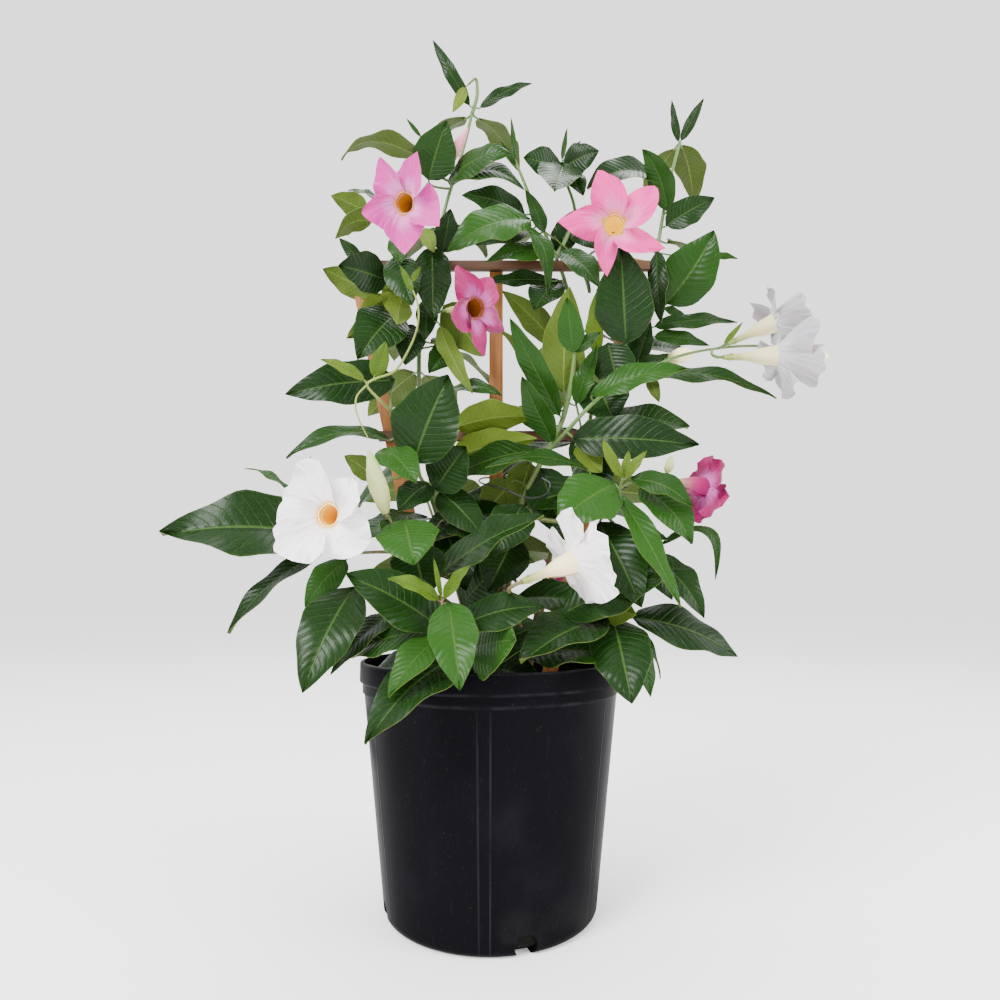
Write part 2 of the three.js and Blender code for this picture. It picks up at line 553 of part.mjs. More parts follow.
// Leaf on its stalk: flat below and raised along the arched midrib
function leafSolid({ root, start, middle, end, normal, width }, extra = 0, stalked = true) {
  const bow = middle.clone().multiplyScalar(2).addScaledVector(start.clone().add(end), -0.5);
  const at = (t) =>
    start
      .clone()
      .multiplyScalar((1 - t) * (1 - t))
      .addScaledVector(bow, 2 * t * (1 - t))
      .addScaledVector(end, t * t);
  const ring = (place, ahead, halfWidth, depth) => {
    const up = normal.clone().addScaledVector(ahead, -normal.dot(ahead)).normalize();
    const side = up.clone().cross(ahead);
    const edge = place.clone().addScaledVector(up, -0.5 * depth - extra);
    return [
      edge.clone().addScaledVector(side, halfWidth + extra),
      place.clone().addScaledVector(up, 0.5 * depth + extra),
      edge.clone().addScaledVector(side, -halfWidth - extra),
    ];
  };
  const out = start.clone().sub(root).normalize();
  const first = at(0.1).sub(start).normalize();
  const rings = [
    ring(root, out, petiole.rootShare * petiole.halfWidth, petiole.rootShare * petiole.depth),
    ring(start, out.clone().add(first).normalize(), petiole.halfWidth, petiole.depth),
  ];
  const few = width < blade.fewBelow;
  const halfWidths = few ? blade.fewHalfWidths : blade.halfWidths;
  (few ? blade.fewStations : blade.stations).forEach((t, i) => {
    const ahead = at(t + 0.05).sub(at(t - 0.05)).normalize();
    rings.push(ring(at(t), ahead, halfWidths[i] * width, blade.depth));
  });
  if (!stalked) rings.shift();
  const point = extra ? end.clone().addScaledVector(end.clone().sub(at(0.9)).normalize(), extra) : end;
  return loft(rings, point);
}

// Bloom in its own frame: a hollow trumpet along +Z that opens at the origin into five petals, each with one
// side over its neighbour like a pinwheel
function bloomSolid(diameter, turn, cup) {
  const start = THREE.MathUtils.degToRad(turn);
  const reach = diameter / 2 - trumpet.mouth;
  const count = corolla.petals * corolla.edges.length;
  const ring = (radiusAt, heightAt, out) =>
    Array.from({ length: count }, (_, j) => {
      const k = j % corolla.edges.length;
      const share = Math.floor(j / corolla.edges.length) + corolla.edges[k];
      const angle = start + (2 * Math.PI * share) / corolla.petals + corolla.swirl * out;
      return vector(radiusAt(k) * Math.cos(angle), radiusAt(k) * Math.sin(angle), heightAt(k));
    });
  const tubeRing = ([share, radius]) => ring(() => radius, () => (share - 1) * trumpet.length, 0);
  const limbRing = (out, offset) =>
    ring(
      (k) => trumpet.mouth - trumpet.wall / 2 + out * reach * corolla.reaches[k],
      (k) =>
        out * corolla.steps[k] * diameter +
        corolla.lift * reach * Math.sin(Math.PI * out) +
        cup * reach * out ** 2 +
        offset,
      out,
    );
  return loft([
    ...trumpet.outer.map(tubeRing),
    ring(() => trumpet.mouth, () => -trumpet.wall, 0),
    ...corolla.rings.map((out) => limbRing(out, -corolla.halfDepth)),
    limbRing(1, 0),
    ...corolla.rings.toReversed().map((out) => limbRing(out, corolla.halfDepth)),
    ring(() => trumpet.mouth - trumpet.wall, () => 0, 0),
    tubeRing(trumpet.inner),
  ]);
}

function placed(solid, place, direction) {
  const spin = new THREE.Quaternion().setFromUnitVectors(vector(0, 0, 1), direction);
  const matrix = new THREE.Matrix4().compose(place, spin, vector(1, 1, 1));
  return solid.transform(matrix.elements);
}

// Pot, soil, trellis and tie
function revolved(profile) {
  const across = vector(1, 0, 0);
  const away = vector(0, 1, 0);
  return loft(profile.map(([r, z]) => polygon(vector(0, 0, z), across, away, r, r, pot.sides)));
}

function bodyRadiusAt(z) {
  const flareHeight = pot.height - rimBand.lowerDepth - rimBand.edge;
  return pot.footRadius + ((rimBand.bodyRadius - pot.footRadius) * z) / flareHeight;
}

function potSolid() {
  const profile = [];
  for (let k = 0; k <= footEdge.steps; k++) {
    const angle = (Math.PI / 2) * (k / footEdge.steps);
    const r = bodyRadiusAt(footEdge.radius) - footEdge.radius * (1 - Math.sin(angle));
    profile.push([r, footEdge.radius * (1 - Math.cos(angle))]);
  }
  const lowerFoot = pot.height - rimBand.lowerDepth;
  const lowerTop = pot.height - rimBand.depth;
  profile.push([rimBand.bodyRadius, lowerFoot - rimBand.edge]);
  profile.push([rimBand.lowerRadius, lowerFoot]);
  profile.push([rimBand.lowerRadius, lowerTop - rimBand.groove]);
  profile.push([pot.rimRadius, lowerTop]);
  profile.push([pot.rimRadius, pot.height - rimBand.edge]);
  profile.push([pot.rimRadius - rimBand.edge, pot.height]);
  profile.push([pot.rimRadius - pot.wall - rimBand.edge, pot.height]);
  profile.push([rimBand.lowerRadius - pot.wall, lowerTop - rimBand.groove]);
  profile.push([rimBand.bodyRadius - pot.wall, lowerFoot - rimBand.edge]);
  profile.push([bodyRadiusAt(footEdge.radius) - pot.wall, footEdge.radius]);
  profile.push([bodyRadiusAt(0) - footEdge.radius, pot.floor]);
  let solid = revolved(profile);
  for (const angle of drain.angles) {
    const hole = new THREE.CylinderGeometry(drain.radius, drain.radius, drain.to - drain.from, drain.sides);
    hole.rotateZ(Math.PI / 2).translate((drain.from + drain.to) / 2, 0, drain.axisHeight);
    hole.rotateZ(THREE.MathUtils.degToRad(angle - 90));
    solid = solid.subtract(solidOf(hole));
  }
  return solid;
}

function soilSolid() {
  const innerAt = (z) => bodyRadiusAt(z) - pot.wall - GAP;
  const edge = soil.top - soil.dip;
  const mound = [soil.shoulder, soil.slope, soil.middle];
  return revolved([
    [bodyRadiusAt(0) - footEdge.radius - GAP, pot.floor + GAP],
    [innerAt(footEdge.radius), footEdge.radius + GAP],
    [innerAt(edge - 2 * soil.dip), edge - 2 * soil.dip],
    [innerAt(edge), edge],
    ...mound.map(([share, rise]) => [rimBand.bodyRadius * share, soil.top + rise]),
  ]);
}

function box(width, depth, height, place, lean = 0, grow = 0) {
  const geometry = new THREE.BoxGeometry(width + 2 * grow, depth + 2 * grow, height + 2 * grow);
  geometry.rotateY(lean).translate(place.x, place.y, place.z);
  return solidOf(geometry);
}

function stakeSolid(side, grow = 0) {
  const centreX = side === 0 ? trellisX : trellisX + (side * (stake.footSpread + stake.spread)) / 2;
  const rise = stake.top - stake.foot;
  const run = side * (stake.spread - stake.footSpread);
  const place = vector(centreX, -stake.front, (stake.top + stake.foot) / 2);
  return box(stake.width, stake.depth, Math.hypot(rise, run), place, Math.atan2(run, rise), grow);
}

function barSolid(level) {
  const share = (level - stake.foot) / (stake.top - stake.foot);
  const spread = stake.footSpread + share * (stake.spread - stake.footSpread);
  const reach = spread + stake.width / 2 + bar.overhang;
  const y = -stake.front - stake.depth / 2 - GAP - bar.depth / 2;
  return box(2 * reach, bar.depth, bar.height, vector(trellisX, y, level));
}

const paint = (color, roughness) => new THREE.MeshStandardMaterial({ color, roughness, metalness: 0 });
const looks = {
  pot: paint(0x1d1d22, 0.45),
  soil: paint(0x2c2119, 0.95),
  cedar: paint(0xa8703a, 0.7),
  wire: paint(0x151515, 0.4),
  leaf: paint(0x2f6429, 0.38),
  youngLeaf: paint(0x7f9a3c, 0.45),
  pink: paint(0xeaa6b4, 0.55),
  rose: paint(0xc2265c, 0.5),
  white: paint(0xf1efe8, 0.55),
  greenBud: paint(0xc7cf95, 0.5),
};

const root = new THREE.Group();
root.name = "potted_mandevilla";

// Pieces placed so far, each with its node and its box, for the tests of what is clear
const pieces = [];
const kept = new Map();

function keep(node, solid, look, blade = null) {
  pieces.push({ node, solid, box: solid.boundingBox(), blade });
  if (!kept.has(node)) kept.set(node, { solids: [], look });
  kept.get(node).solids.push(solid);
}

const apart = (a, b) => [0, 1, 2].some((k) => a.max[k] < b.min[k] || b.max[k] < a.min[k]);

// The first piece of another node that a solid meets
function meets(node, solid) {
  const own = solid.boundingBox();
  const others = pieces.filter((p) => p.node !== node && !apart(own, p.box));
  return others.find((p) => !solid.intersect(p.solid).isEmpty());
}

// The first leaf of its own node that a blade meets
function crosses(node, blade) {
  const own = blade.boundingBox();
  const others = pieces.filter((p) => p.node === node && p.blade && !apart(own, p.box));
  return others.find((p) => !blade.intersect(p.blade).isEmpty());
}

const wayRadius = (shoot, way, count, grow) => (i) => {
  const first = way === 0 ? shoot.radius : stem.sideShare * shoot.radius;
  return first * (1 - (1 - stem.tipShare) * (i / (count - 1))) + grow;
};

const paths = {};
for (const [name, shoot] of Object.entries(shoots)) paths[name] = pathsOf(shoot);

const stemsOf = (name, grow = 0) =>
  paths[name].map((path, i) => {
    const sides = i ? stem.sideSides : stem.sides;
    return tube(path, wayRadius(shoots[name], i, path.length, grow), sides);
  });

const largest = (solid) => solid.decompose().reduce((a, b) => (b.volume() > a.volume() ? b : a));

const trellisSolids = { stake_left: -1, stake_middle: 0, stake_right: 1 };
let earth = soilSolid();
for (const side of Object.values(trellisSolids)) earth = earth.subtract(stakeSolid(side, GAP));
for (const [name, shoot] of Object.entries(shoots)) {
  if (shoot.foot) earth = earth.subtract(stemsOf(name, GAP)[0]);
}
keep("pot", potSolid(), looks.pot);
keep("soil", earth, looks.soil);
for (const [name, side] of Object.entries(trellisSolids)) keep(name, stakeSolid(side), looks.cedar);
bar.levels.forEach((level, i) => keep(`bar_${i + 1}`, barSolid(level), looks.cedar));
keep("tie_wire", tube(smooth(tieWay.map(seen)), () => tie.radius, tie.sides), looks.wire);

// Stems, each branch cut off its parent by the gap, then blooms and buds on stalks
for (const [name, shoot] of Object.entries(shoots)) {
  const look = name === "young_vine" ? looks.youngLeaf : looks.leaf;
  let solid = wasm.Manifold.union(stemsOf(name));
  if (shoot.from) solid = largest(solid.subtract(wasm.Manifold.union(stemsOf(shoot.from, GAP))));
  keep(name, solid, look);
}

function stalk(name, end, direction) {
  const start = nearestOn(paths[name], end);
  const reach = start.distanceTo(end);
  const before = end.clone().addScaledVector(direction, -pedicel.straightShare * reach);
  const last = end.clone().addScaledVector(direction, -GAP);
  keep(name, tube(smooth([start, before, last]), () => pedicel.radius, pedicel.sides), looks.leaf);
}

for (const [name, [shoot, mouth, facing, diameter, look, turn, cup]] of Object.entries(blooms)) {
  const place = seen(mouth);
  const direction = seenDirection(place, facing);
  keep(name, placed(bloomSolid(diameter, turn, cup), place, direction), looks[look]);
  stalk(shoot, place.clone().addScaledVector(direction, -trumpet.length), direction);
}
for (const [name, [shoot, base, tip, width, look]] of Object.entries(buds)) {
  const foot = seen(base);
  const end = seen(tip);
  const direction = end.clone().sub(foot).normalize();
  const side = vector(0, -1, 0).cross(direction).normalize();
  const up = direction.clone().cross(side);
  const rings = bud.stations.map((t, k) => {
    const half = (bud.shares[k] * width) / 2;
    return polygon(foot.clone().lerp(end, t), side, up, half, half, bud.sides);
  });
  keep(name, loft(rings, end), looks[look]);
  stalk(shoot, foot, direction);
}

// A leaf takes the first bend that is clear of all other pieces and of its own shoot's blades, else the first
// that is clear of the others
function addLeaf(name, leaf) {
  const clear = bends.filter((bend) => !meets(name, leafSolid(bentBy(leaf, bend), clearance.others)));
  const free = clear.find((bend) => !crosses(name, leafSolid(bentBy(leaf, bend), clearance.own, false)));
  if (!clear.length) return;
  const chosen = bentBy(leaf, free ?? clear[0]);
  keep(name, leafSolid(chosen), null, leafSolid(chosen, 0, false));
}

for (const [name, { leaves }] of Object.entries(shoots)) {
  leaves.forEach((line) => addLeaf(name, leafFrom(paths[name], line)));
}

// A seeded row of draws between 0 and 1
let drawn = filler.seed;
function draw() {
  drawn = (Math.imul(drawn, 1664525) + 1013904223) >>> 0;
  return drawn / 4294967296;
}

function fillersOf(name) {
  const path = shoots[name].foot ? paths[name][0] : [];
  const found = [];
  let walked = 0;
  for (let i = 2; i < path.length; i += 2) {
    walked += path[i].distanceTo(path[i - 2]);
    const kind = path[i].z < filler.core.below ? filler.core : filler.crown;
    if (walked < kind.every || path[i].z < filler.lowest) continue;
    walked = 0;
    for (const side of [-1, 1]) {
      const degrees = kind.angles[0] + (kind.angles[1] - kind.angles[0]) * draw();
      const angle = side * THREE.MathUtils.degToRad(degrees);
      const length = kind.length[0] + (kind.length[1] - kind.length[0]) * draw();
      const out = vector(Math.sin(angle), Math.cos(angle), 0.5 * draw() - 0.2).normalize();
      const start = path[i].clone().addScaledVector(out, filler.stalk);
      const end = start.clone().addScaledVector(out, length);
      end.z -= length * (0.15 + 0.35 * draw());
      const normal = vector(0.3 * out.x, 0.5 * out.y + (path[i].y > 30 ? 0.5 : -0.6), 0.6).normalize();
      const middle = start.clone().add(end).multiplyScalar(0.5).addScaledVector(normal, 0.1 * length);
      found.push({ root: path[i].clone(), start, middle, end, normal, width: filler.width * length });
    }
  }
  return found;
}

for (const name of Object.keys(shoots)) {
  fillersOf(name).forEach((leaf) => addLeaf(name, leaf));
}

for (const [name, { solids, look }] of kept) {
  const whole = largest(wasm.Manifold.union(solids).simplify(SMALLEST));
  const mesh = new THREE.Mesh(geometryOf(whole), look);
  mesh.name = name;
  root.add(mesh);
}

export default root;
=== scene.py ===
# Potted mandevilla: vines with trumpet blooms on a wooden fan trellis, in a black nursery pot of soil.
import math
from contextlib import contextmanager
import bpy
import numpy as np
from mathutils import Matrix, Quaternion, Vector, noise
from mathutils.geometry import intersect_point_line
from mathutils.kdtree import KDTree


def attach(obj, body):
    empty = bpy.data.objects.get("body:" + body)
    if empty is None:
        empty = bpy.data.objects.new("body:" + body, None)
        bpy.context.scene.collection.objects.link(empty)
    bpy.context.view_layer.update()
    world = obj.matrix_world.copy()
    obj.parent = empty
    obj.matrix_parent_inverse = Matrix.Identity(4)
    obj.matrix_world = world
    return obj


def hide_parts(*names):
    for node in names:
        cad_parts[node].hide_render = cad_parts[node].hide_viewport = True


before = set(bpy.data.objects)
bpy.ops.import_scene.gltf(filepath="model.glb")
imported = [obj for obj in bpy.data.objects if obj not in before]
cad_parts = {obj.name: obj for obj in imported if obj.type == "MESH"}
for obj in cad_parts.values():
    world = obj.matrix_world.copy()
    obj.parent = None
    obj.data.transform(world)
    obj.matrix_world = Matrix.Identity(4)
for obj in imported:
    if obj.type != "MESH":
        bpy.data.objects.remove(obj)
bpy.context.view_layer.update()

mm = 0.001
scene = bpy.context.scene

# Where the viewer stands, and the picture that places are read from: a place is how far across and down
# it is seen in a picture of 1000 by 1000, and how many millimetres it is in front of the pot's axis.
viewer = {"eye": (9, -702, 294), "lookUp": 7.6, "pictureMiddle": 500, "focal": 694, "sensor": 36}
eye = Vector(viewer["eye"])
lookUp = math.radians(viewer["lookUp"])


def seen(place):
    across, down, near = place
    right = (across - viewer["pictureMiddle"]) / viewer["focal"]
    up = (viewer["pictureMiddle"] - down) / viewer["focal"]
    ahead = math.cos(lookUp) - up * math.sin(lookUp)
    rise = math.sin(lookUp) + up * math.cos(lookUp)
    travel = (-eye.y - near) / ahead
    return Vector((eye.x + right * travel, -near, eye.z + rise * travel))


def seenDirection(point, facing):
    toward = (eye - point).normalized()
    side = Vector((0, 0, 1)).cross(toward).normalized()
    up = toward.cross(side)
    return (side * facing[0] + up * facing[1] + toward * facing[2]).normalized()


soilSizes = {"top": 204, "crown": 5, "dip": 3}
stemSizes = {"buried": 60, "upright": 4, "lowestRoot": 12, "tipShare": 0.55, "sideShare": 0.75,
             "stalk": (1.3, 1.6), "stalkGap": 0.35, "stalkReach": 0.4, "stalkPlaces": 14}
trumpetSizes = {"length": 50, "mouth": 9.6, "wall": 0.7, "ribs": 0.02, "under": 0.5}
seeds = {"tones": 5, "soil": 3, "shoots": 100}

# Shoots: the foot in the soil or the shoot it comes from, the stem's radius, the ways that the stem and its
# side stems take, and the leaves: [base, tip, width, way the upper face looks, arch, middle if it is bent]
shoots = {
  "vine_left": {
    "foot": [-14, -3],
    "radius": 3,
    "ways": [
      [[472, 640, 12], [455, 580, 15], [438, 520, 10], [428, 460, 2], [420, 400, 0], [420, 340, 2],
       [430, 300, 2], [437, 262, 5], [441, 225, 10], [452, 185, 12], [463, 150, 15], [472, 114, 15]],
      [[472, 114, 15], [477, 96, 15], [476, 79, 18], [469, 84, 22]],
      [[432, 288, 3], [412, 284, 8], [392, 286, 24], [378, 284, 26]],
      [[441, 225, 10], [420, 215, 18], [385, 212, 25]],
      [[420, 340, 2], [400, 325, 8], [385, 300, 15]],
    ],
    "leaves": [
      [[470, 106, 15], [433, 40, 25], 13, [-0.3, 0.3, 0.9], 0.08],
      [[466, 87, 22], [451, 115, 30], 10, [0, 0, -1], 0.05],
      [[480, 108, 15], [532, 84, 10], 12, [0, 0.5, 0.8], 0.12],
      [[428, 162, 25], [342, 161, 60], 32, [0, 0.8, -0.55], 0.02, [374, 143, 46]],
      [[429, 177, 25], [449, 121, 45], 40, [-0.2, 0.3, 0.9], 0.08],
      [[449, 180, 22], [511, 154, 60], 32, [0, 0.7, 0.7], 0.16],
      [[452, 186, 18], [524, 190, 42], 28, [0, 0.85, 0.5], 0.24],
      [[368, 213, 40], [331, 196, 50], 22, [0, 0.3, -0.9], 0.1],
      [[380, 200, 20], [348, 191, 30], 12, [0, 0.9, 0.4], 0.1],
      [[372, 222, 40], [336, 239, 70], 24, [-0.2, 0.5, -0.8], 0.25],
      [[362, 263, 30], [339, 238, 35], 12, [0, 0.2, 0.9], 0.05],
      [[385, 280, 30], [338, 266, 62], 36, [0, 0.3, 0.95], 0.1],
      [[372, 294, 18], [324, 268, 30], 26, [0, 0.2, -0.95], 0.1],
      [[390, 283, 20], [392, 316, 40], 18, [0, 0, -1], 0.1],
      [[386, 296, 16], [360, 316, 40], 20, [0, 0, -1], 0.1],
      [[402, 298, 25], [396, 330, 50], 24, [-0.2, 0, -1], 0.1],
      [[396, 256, 34], [412, 306, 62], 32, [0, 0.2, 0.95], 0.1],
      [[432, 249, 27], [433, 321, 50], 34, [0, 0.15, 1], 0.06],
      [[428, 300, 10], [425, 341, 30], 20, [0, 0.1, 1], 0.1],
      [[396, 314, 12], [358, 360, 50], 46, [0, 0.4, 0.9], 0.15],
      [[376, 318, 20], [347, 338, 34], 16, [0, 0, -1], 0.1],
      [[412, 326, 8], [405, 366, 30], 28, [0.1, 0.2, 0.95], 0.1],
      [[440, 326, 30], [473, 394, 62], 18, [-0.3, 0.1, -0.9], 0.12],
      [[452, 346, 10], [429, 374, 26], 24, [0, 0.3, 0.9], 0.1],
      [[447, 251, 12], [475, 245, 24], 14, [0, 0.6, 0.6], 0.1],
      [[421, 137, 30], [406, 118, 32], 4, [0, 0, 1], 0.05],
      [[446, 392, 14], [502, 396, 34], 22, [0, 0.8, 0.5], 0.15],
      [[443, 305, 15], [482, 356, 45], 36, [0.2, 0, -0.95], 0.1],
      [[398, 238, 30], [400, 265, 50], 20, [0, 0.2, 1], 0.1],
      [[424, 228, 30], [434, 252, 50], 14, [0, 0, -1], 0.1],
      [[442, 252, 12], [450, 209, 28], 24, [0.2, 0, 0.95], 0.08],
      [[462, 604, 26], [506, 562, 48], 38, [0, 0.4, 0.9], 0.1],
      [[446, 530, 22], [466, 596, 44], 40, [0, 0.3, 0.95], 0.08],
    ],
  },
  "vine_centre": {
    "foot": [18, 2],
    "radius": 3,
    "ways": [
      [[508, 600, 12], [519, 511, 28], [547, 452, 36], [562, 421, 42], [572, 380, 36], [575, 330, 8],
       [566, 285, 2], [556, 258, 4], [544, 231, 6], [533, 205, 8], [524, 182, 10], [516, 163, 12]],
      [[562, 421, 42], [570, 386, 56], [574, 354, 62]],
      [[556, 258, 4], [575, 215, 0], [565, 180, -8], [562, 162, -10]],
      [[572, 380, 36], [592, 362, 26], [598, 345, 22]],
    ],
    "leaves": [
      [[516, 161, 12], [511, 117, 15], 5, [0, 0, 1], 0.05],
      [[516, 166, 12], [501, 141, 15], 5, [0, 0, 1], 0.05],
      [[544, 232, 15], [525, 190, 32], 14, [0.3, 0, 0.9], 0.1],
      [[524, 214, 12], [462, 196, 30], 30, [0, 0.6, 0.8], 0.12],
      [[530, 220, 20], [447, 253, 70], 38, [0, 0.5, 0.85], 0.18],
      [[512, 226, 14], [557, 280, 56], 19, [0.4, 0.7, 0.5], 0.28],
      [[552, 253, 25], [486, 263, 46], 26, [0, 0.7, 0.7], 0.12],
      [[550, 281, 15], [483, 284, 26], 18, [0, 0.6, 0.75], 0.06],
      [[556, 282, 6], [534, 312, 34], 32, [-0.2, 0.3, 0.9], 0.1],
      [[563, 252, 23], [598, 288, 46], 28, [0.3, 0.5, 0.8], 0.12],
      [[563, 168, -8], [599, 151, 14], 32, [0, 0.5, 0.85], 0.08],
      [[561, 170, -8], [523, 158, 14], 30, [0, 0.5, 0.85], 0.08],
      [[563, 166, -6], [551, 210, 30], 42, [0, 0.2, 0.97], 0.08],
      [[566, 172, -12], [583, 197, 12], 22, [0.2, 0.3, 0.9], 0.1],
      [[562, 160, -10], [567, 128, -6], 5, [0, 0, 1], 0.05],
      [[564, 158, -10], [576, 136, -6], 5, [0, 0, 1], 0.05],
      [[573, 352, 62], [567, 298, 78], 22, [0, 0.1, 1], 0.06],
      [[575, 352, 62], [599, 330, 72], 12, [0, 0.5, 0.8], 0.08],
      [[564, 392, 28], [570, 287, 50], 40, [-0.2, 0.2, -0.95], 0.1],
      [[597, 354, 24], [597, 292, 44], 16, [-0.3, 0.1, 0.9], 0.1],
      [[560, 416, 50], [510, 318, 92], 22, [-0.3, 0.4, 0.8], 0.08],
      [[556, 345, 8], [502, 291, 24], 26, [0.3, 0.2, -0.9], 0.1],
      [[557, 410, 34], [495, 329, 54], 22, [0.5, 0.5, -0.5], 0.1],
      [[553, 441, 58], [522, 376, 92], 22, [-0.3, 0.1, 0.9], 0.08],
      [[577, 404, 40], [598, 346, 48], 18, [-0.4, 0, 0.9], 0.08],
      [[598, 386, 36], [614, 422, 46], 44, [0.1, 0.2, 0.95], 0.06],
      [[552, 424, 27], [513, 409, 32], 24, [0, 0.3, 0.9], 0.06],
      [[530, 230, -8], [476, 246, 4], 26, [0, 0.6, 0.7], 0.1],
      [[556, 252, -12], [580, 209, -6], 26, [0, 0.2, 0.95], 0.1],
      [[572, 216, -4], [602, 250, 8], 30, [0, 0.2, 0.95], 0.1],
      [[530, 462, 20], [514, 518, 26], 32, [0, 0.1, -1], 0.06],
      [[512, 482, 19], [478, 521, 26], 32, [0, 0.1, -1], 0.06],
      [[514, 540, 32], [488, 592, 60], 42, [0, 0.3, 0.95], 0.1],
      [[510, 590, 28], [484, 642, 54], 40, [0, 0.3, 0.95], 0.1],
      [[522, 506, 42], [494, 556, 72], 38, [0, 0.3, 0.95], 0.1],
      [[540, 470, 24], [566, 540, 36], 42, [0.1, 0.2, 0.95], 0.06],
    ],
  },
  "vine_right": {
    "foot": [34, 4],
    "radius": 3,
    "ways": [
      [[540, 600, -2], [566, 500, -4], [592, 430, -2], [612, 388, -2], [628, 352, -1], [646, 320, 0],
       [655, 280, 3], [659, 240, 6], [665, 205, 6], [671, 176, 2], [680, 142, 0]],
      [[590, 430, -2], [592, 410, 18], [606, 384, 25], [624, 354, 30]],
      [[655, 280, 3], [662, 296, 10], [668, 302, 12]],
    ],
    "leaves": [
      [[679, 142, 0], [672, 100, 5], 8, [-0.3, 0, 0.9], 0.06],
      [[681, 141, 0], [704, 98, 5], 10, [0, 0.2, 1], 0.06],
      [[667, 211, 12], [642, 149, 40], 24, [-0.2, 0.1, 0.95], 0.08, [660, 176, 26]],
      [[654, 177, 2], [588, 190, 34], 34, [0, 0.65, 0.75], 0.2],
      [[666, 226, 10], [714, 199, 20], 28, [0, 0.4, 0.9], 0.08],
      [[666, 304, 14], [714, 231, 40], 48, [-0.1, 0.1, 0.98], 0.04, [694, 268, 28]],
      [[706, 256, 10], [738, 259, 16], 8, [0, 0.5, 0.8], 0.12],
      [[657, 250, 14], [657, 318, 36], 20, [-0.3, 0, 0.9], 0.06],
      [[664, 309, 10], [685, 316, 4], 9, [0, 0.5, 0.8], 0.05],
      [[626, 343, 38], [621, 247, 62], 50, [0, 0, 1], 0.08],
      [[654, 327, 8], [737, 323, -2], 17, [0, 0.5, 0.8], 0.1],
      [[654, 337, 8], [709, 346, -4], 16, [0, 0.5, 0.8], 0.1],
      [[608, 344, 34], [620, 394, 50], 38, [0, 0.2, 1], 0.08],
      [[638, 362, 22], [651, 322, 32], 17, [-0.2, 0, 0.95], 0.08],
      [[642, 330, 20], [624, 368, 27], 22, [0, 0.1, 1], 0.06],
      [[636, 366, 12], [685, 362, 6], 16, [0, 0.7, 0.6], 0.1],
      [[584, 434, 26], [602, 514, 44], 38, [0.1, 0.2, 0.95], 0.06],
    ],
  },
  "branch_right_mid": {
    "from": "vine_centre",
    "radius": 2.2,
    "ways": [
      [[547, 452, 36], [566, 432, 46], [587, 409, 52], [612, 388, 54], [634, 379, 52], [656, 366, 44],
       [676, 357, 38], [700, 351, 36], [719, 348, 36]],
      [[566, 432, 46], [574, 438, 48], [580, 441, 48]],
    ],
    "leaves": [
      [[592, 396, 60], [687, 370, 84], 24, [0, 0.6, 0.8], 0.12],
      [[638, 379, 50], [776, 399, 64], 19, [0, 0.75, 0.65], 0.02, [708, 377, 60]],
      [[648, 376, 46], [659, 402, 54], 11, [0.3, 0, -1], 0.08],
      [[574, 439, 50], [698, 446, 76], 40, [0, 0.35, 0.92], 0.08],
      [[576, 446, 46], [604, 473, 54], 26, [0, 0.3, -0.9], 0.1],
      [[724, 344, 34], [743, 322, 38], 5, [0, 0, 1], 0.05],
    ],
  },
  "branch_right_low": {
    "from": "vine_centre",
    "radius": 2.4,
    "ways": [
      [[519, 511, 28], [545, 520, 40], [575, 520, 56], [600, 508, 74], [620, 488, 86], [636, 480, 88],
       [648, 478, 86], [658, 476, 83]],
      [[600, 508, 74], [618, 528, 66], [636, 545, 60], [652, 548, 60]],
      [[575, 520, 56], [583, 498, 60], [590, 474, 62]],
      [[620, 488, 86], [622, 480, 92]],
    ],
    "leaves": [
      [[622, 478, 92], [603, 439, 97], 9, [-0.3, 0.3, 0.9], 0.15],
      [[623, 477, 92], [635, 444, 97], 7, [0.2, 0, 1], 0.06],
      [[626, 478, 92], [647, 451, 97], 8, [-0.2, 0.3, 0.9], 0.1],
      [[632, 480, 92], [691, 508, 112], 26, [0.3, 0.6, 0.7], 0.18],
      [[642, 488, 84], [690, 544, 104], 34, [0.4, 0.3, 0.8], 0.18],
      [[618, 495, 88], [680, 608, 146], 20, [0.4, 0.3, 0.85], 0.05],
      [[660, 546, 60], [715, 581, 72], 12, [0.2, 0.8, 0.5], 0.1, [706, 536, 68]],
      [[646, 556, 64], [703, 618, 92], 30, [0.4, 0.5, 0.7], 0.15],
      [[600, 524, 78], [641, 608, 122], 40, [0.1, 0.2, 0.97], 0.1],
      [[614, 484, 84], [558, 524, 104], 50, [-0.2, 0.35, 0.92], 0.1],
      [[588, 470, 64], [486, 468, 84], 18, [0, 0.8, 0.6], 0.14],
      [[626, 534, 68], [672, 600, 104], 32, [0.4, 0.3, 0.9], 0.12],
      [[636, 534, 62], [667, 541, 74], 16, [0.2, 0.7, 0.7], 0.08],
    ],
  },
  "branch_left": {
    "from": "vine_left",
    "radius": 2.2,
    "ways": [
      [[438, 520, 10], [430, 496, 38], [416, 470, 58], [400, 448, 58], [392, 420, 48], [390, 392, 38]],
      [[416, 470, 58], [398, 478, 58], [384, 478, 54]],
    ],
    "leaves": [
      [[414, 462, 62], [449, 377, 80], 58, [-0.2, 0.3, 0.95], 0.08],
      [[436, 488, 50], [467, 446, 78], 38, [0.1, 0.4, 0.9], 0.08],
      [[428, 484, 58], [398, 512, 90], 28, [-0.1, 0.5, 0.85], 0.1],
      [[440, 492, 44], [484, 538, 62], 32, [0.1, 0.4, 0.9], 0.1],
      [[384, 450, 66], [416, 484, 98], 32, [0.1, 0.6, 0.8], 0.12],
      [[376, 478, 50], [344, 456, 50], 20, [0, 0.3, -0.9], 0.1],
      [[388, 440, 54], [287, 459, 92], 22, [0, 0.8, 0.5], 0.18],
      [[394, 381, 37], [286, 395, 64], 40, [0, 0.4, 0.9], 0.1],
    ],
  },
  "young_vine": {
    "from": "branch_left",
    "radius": 1.4,
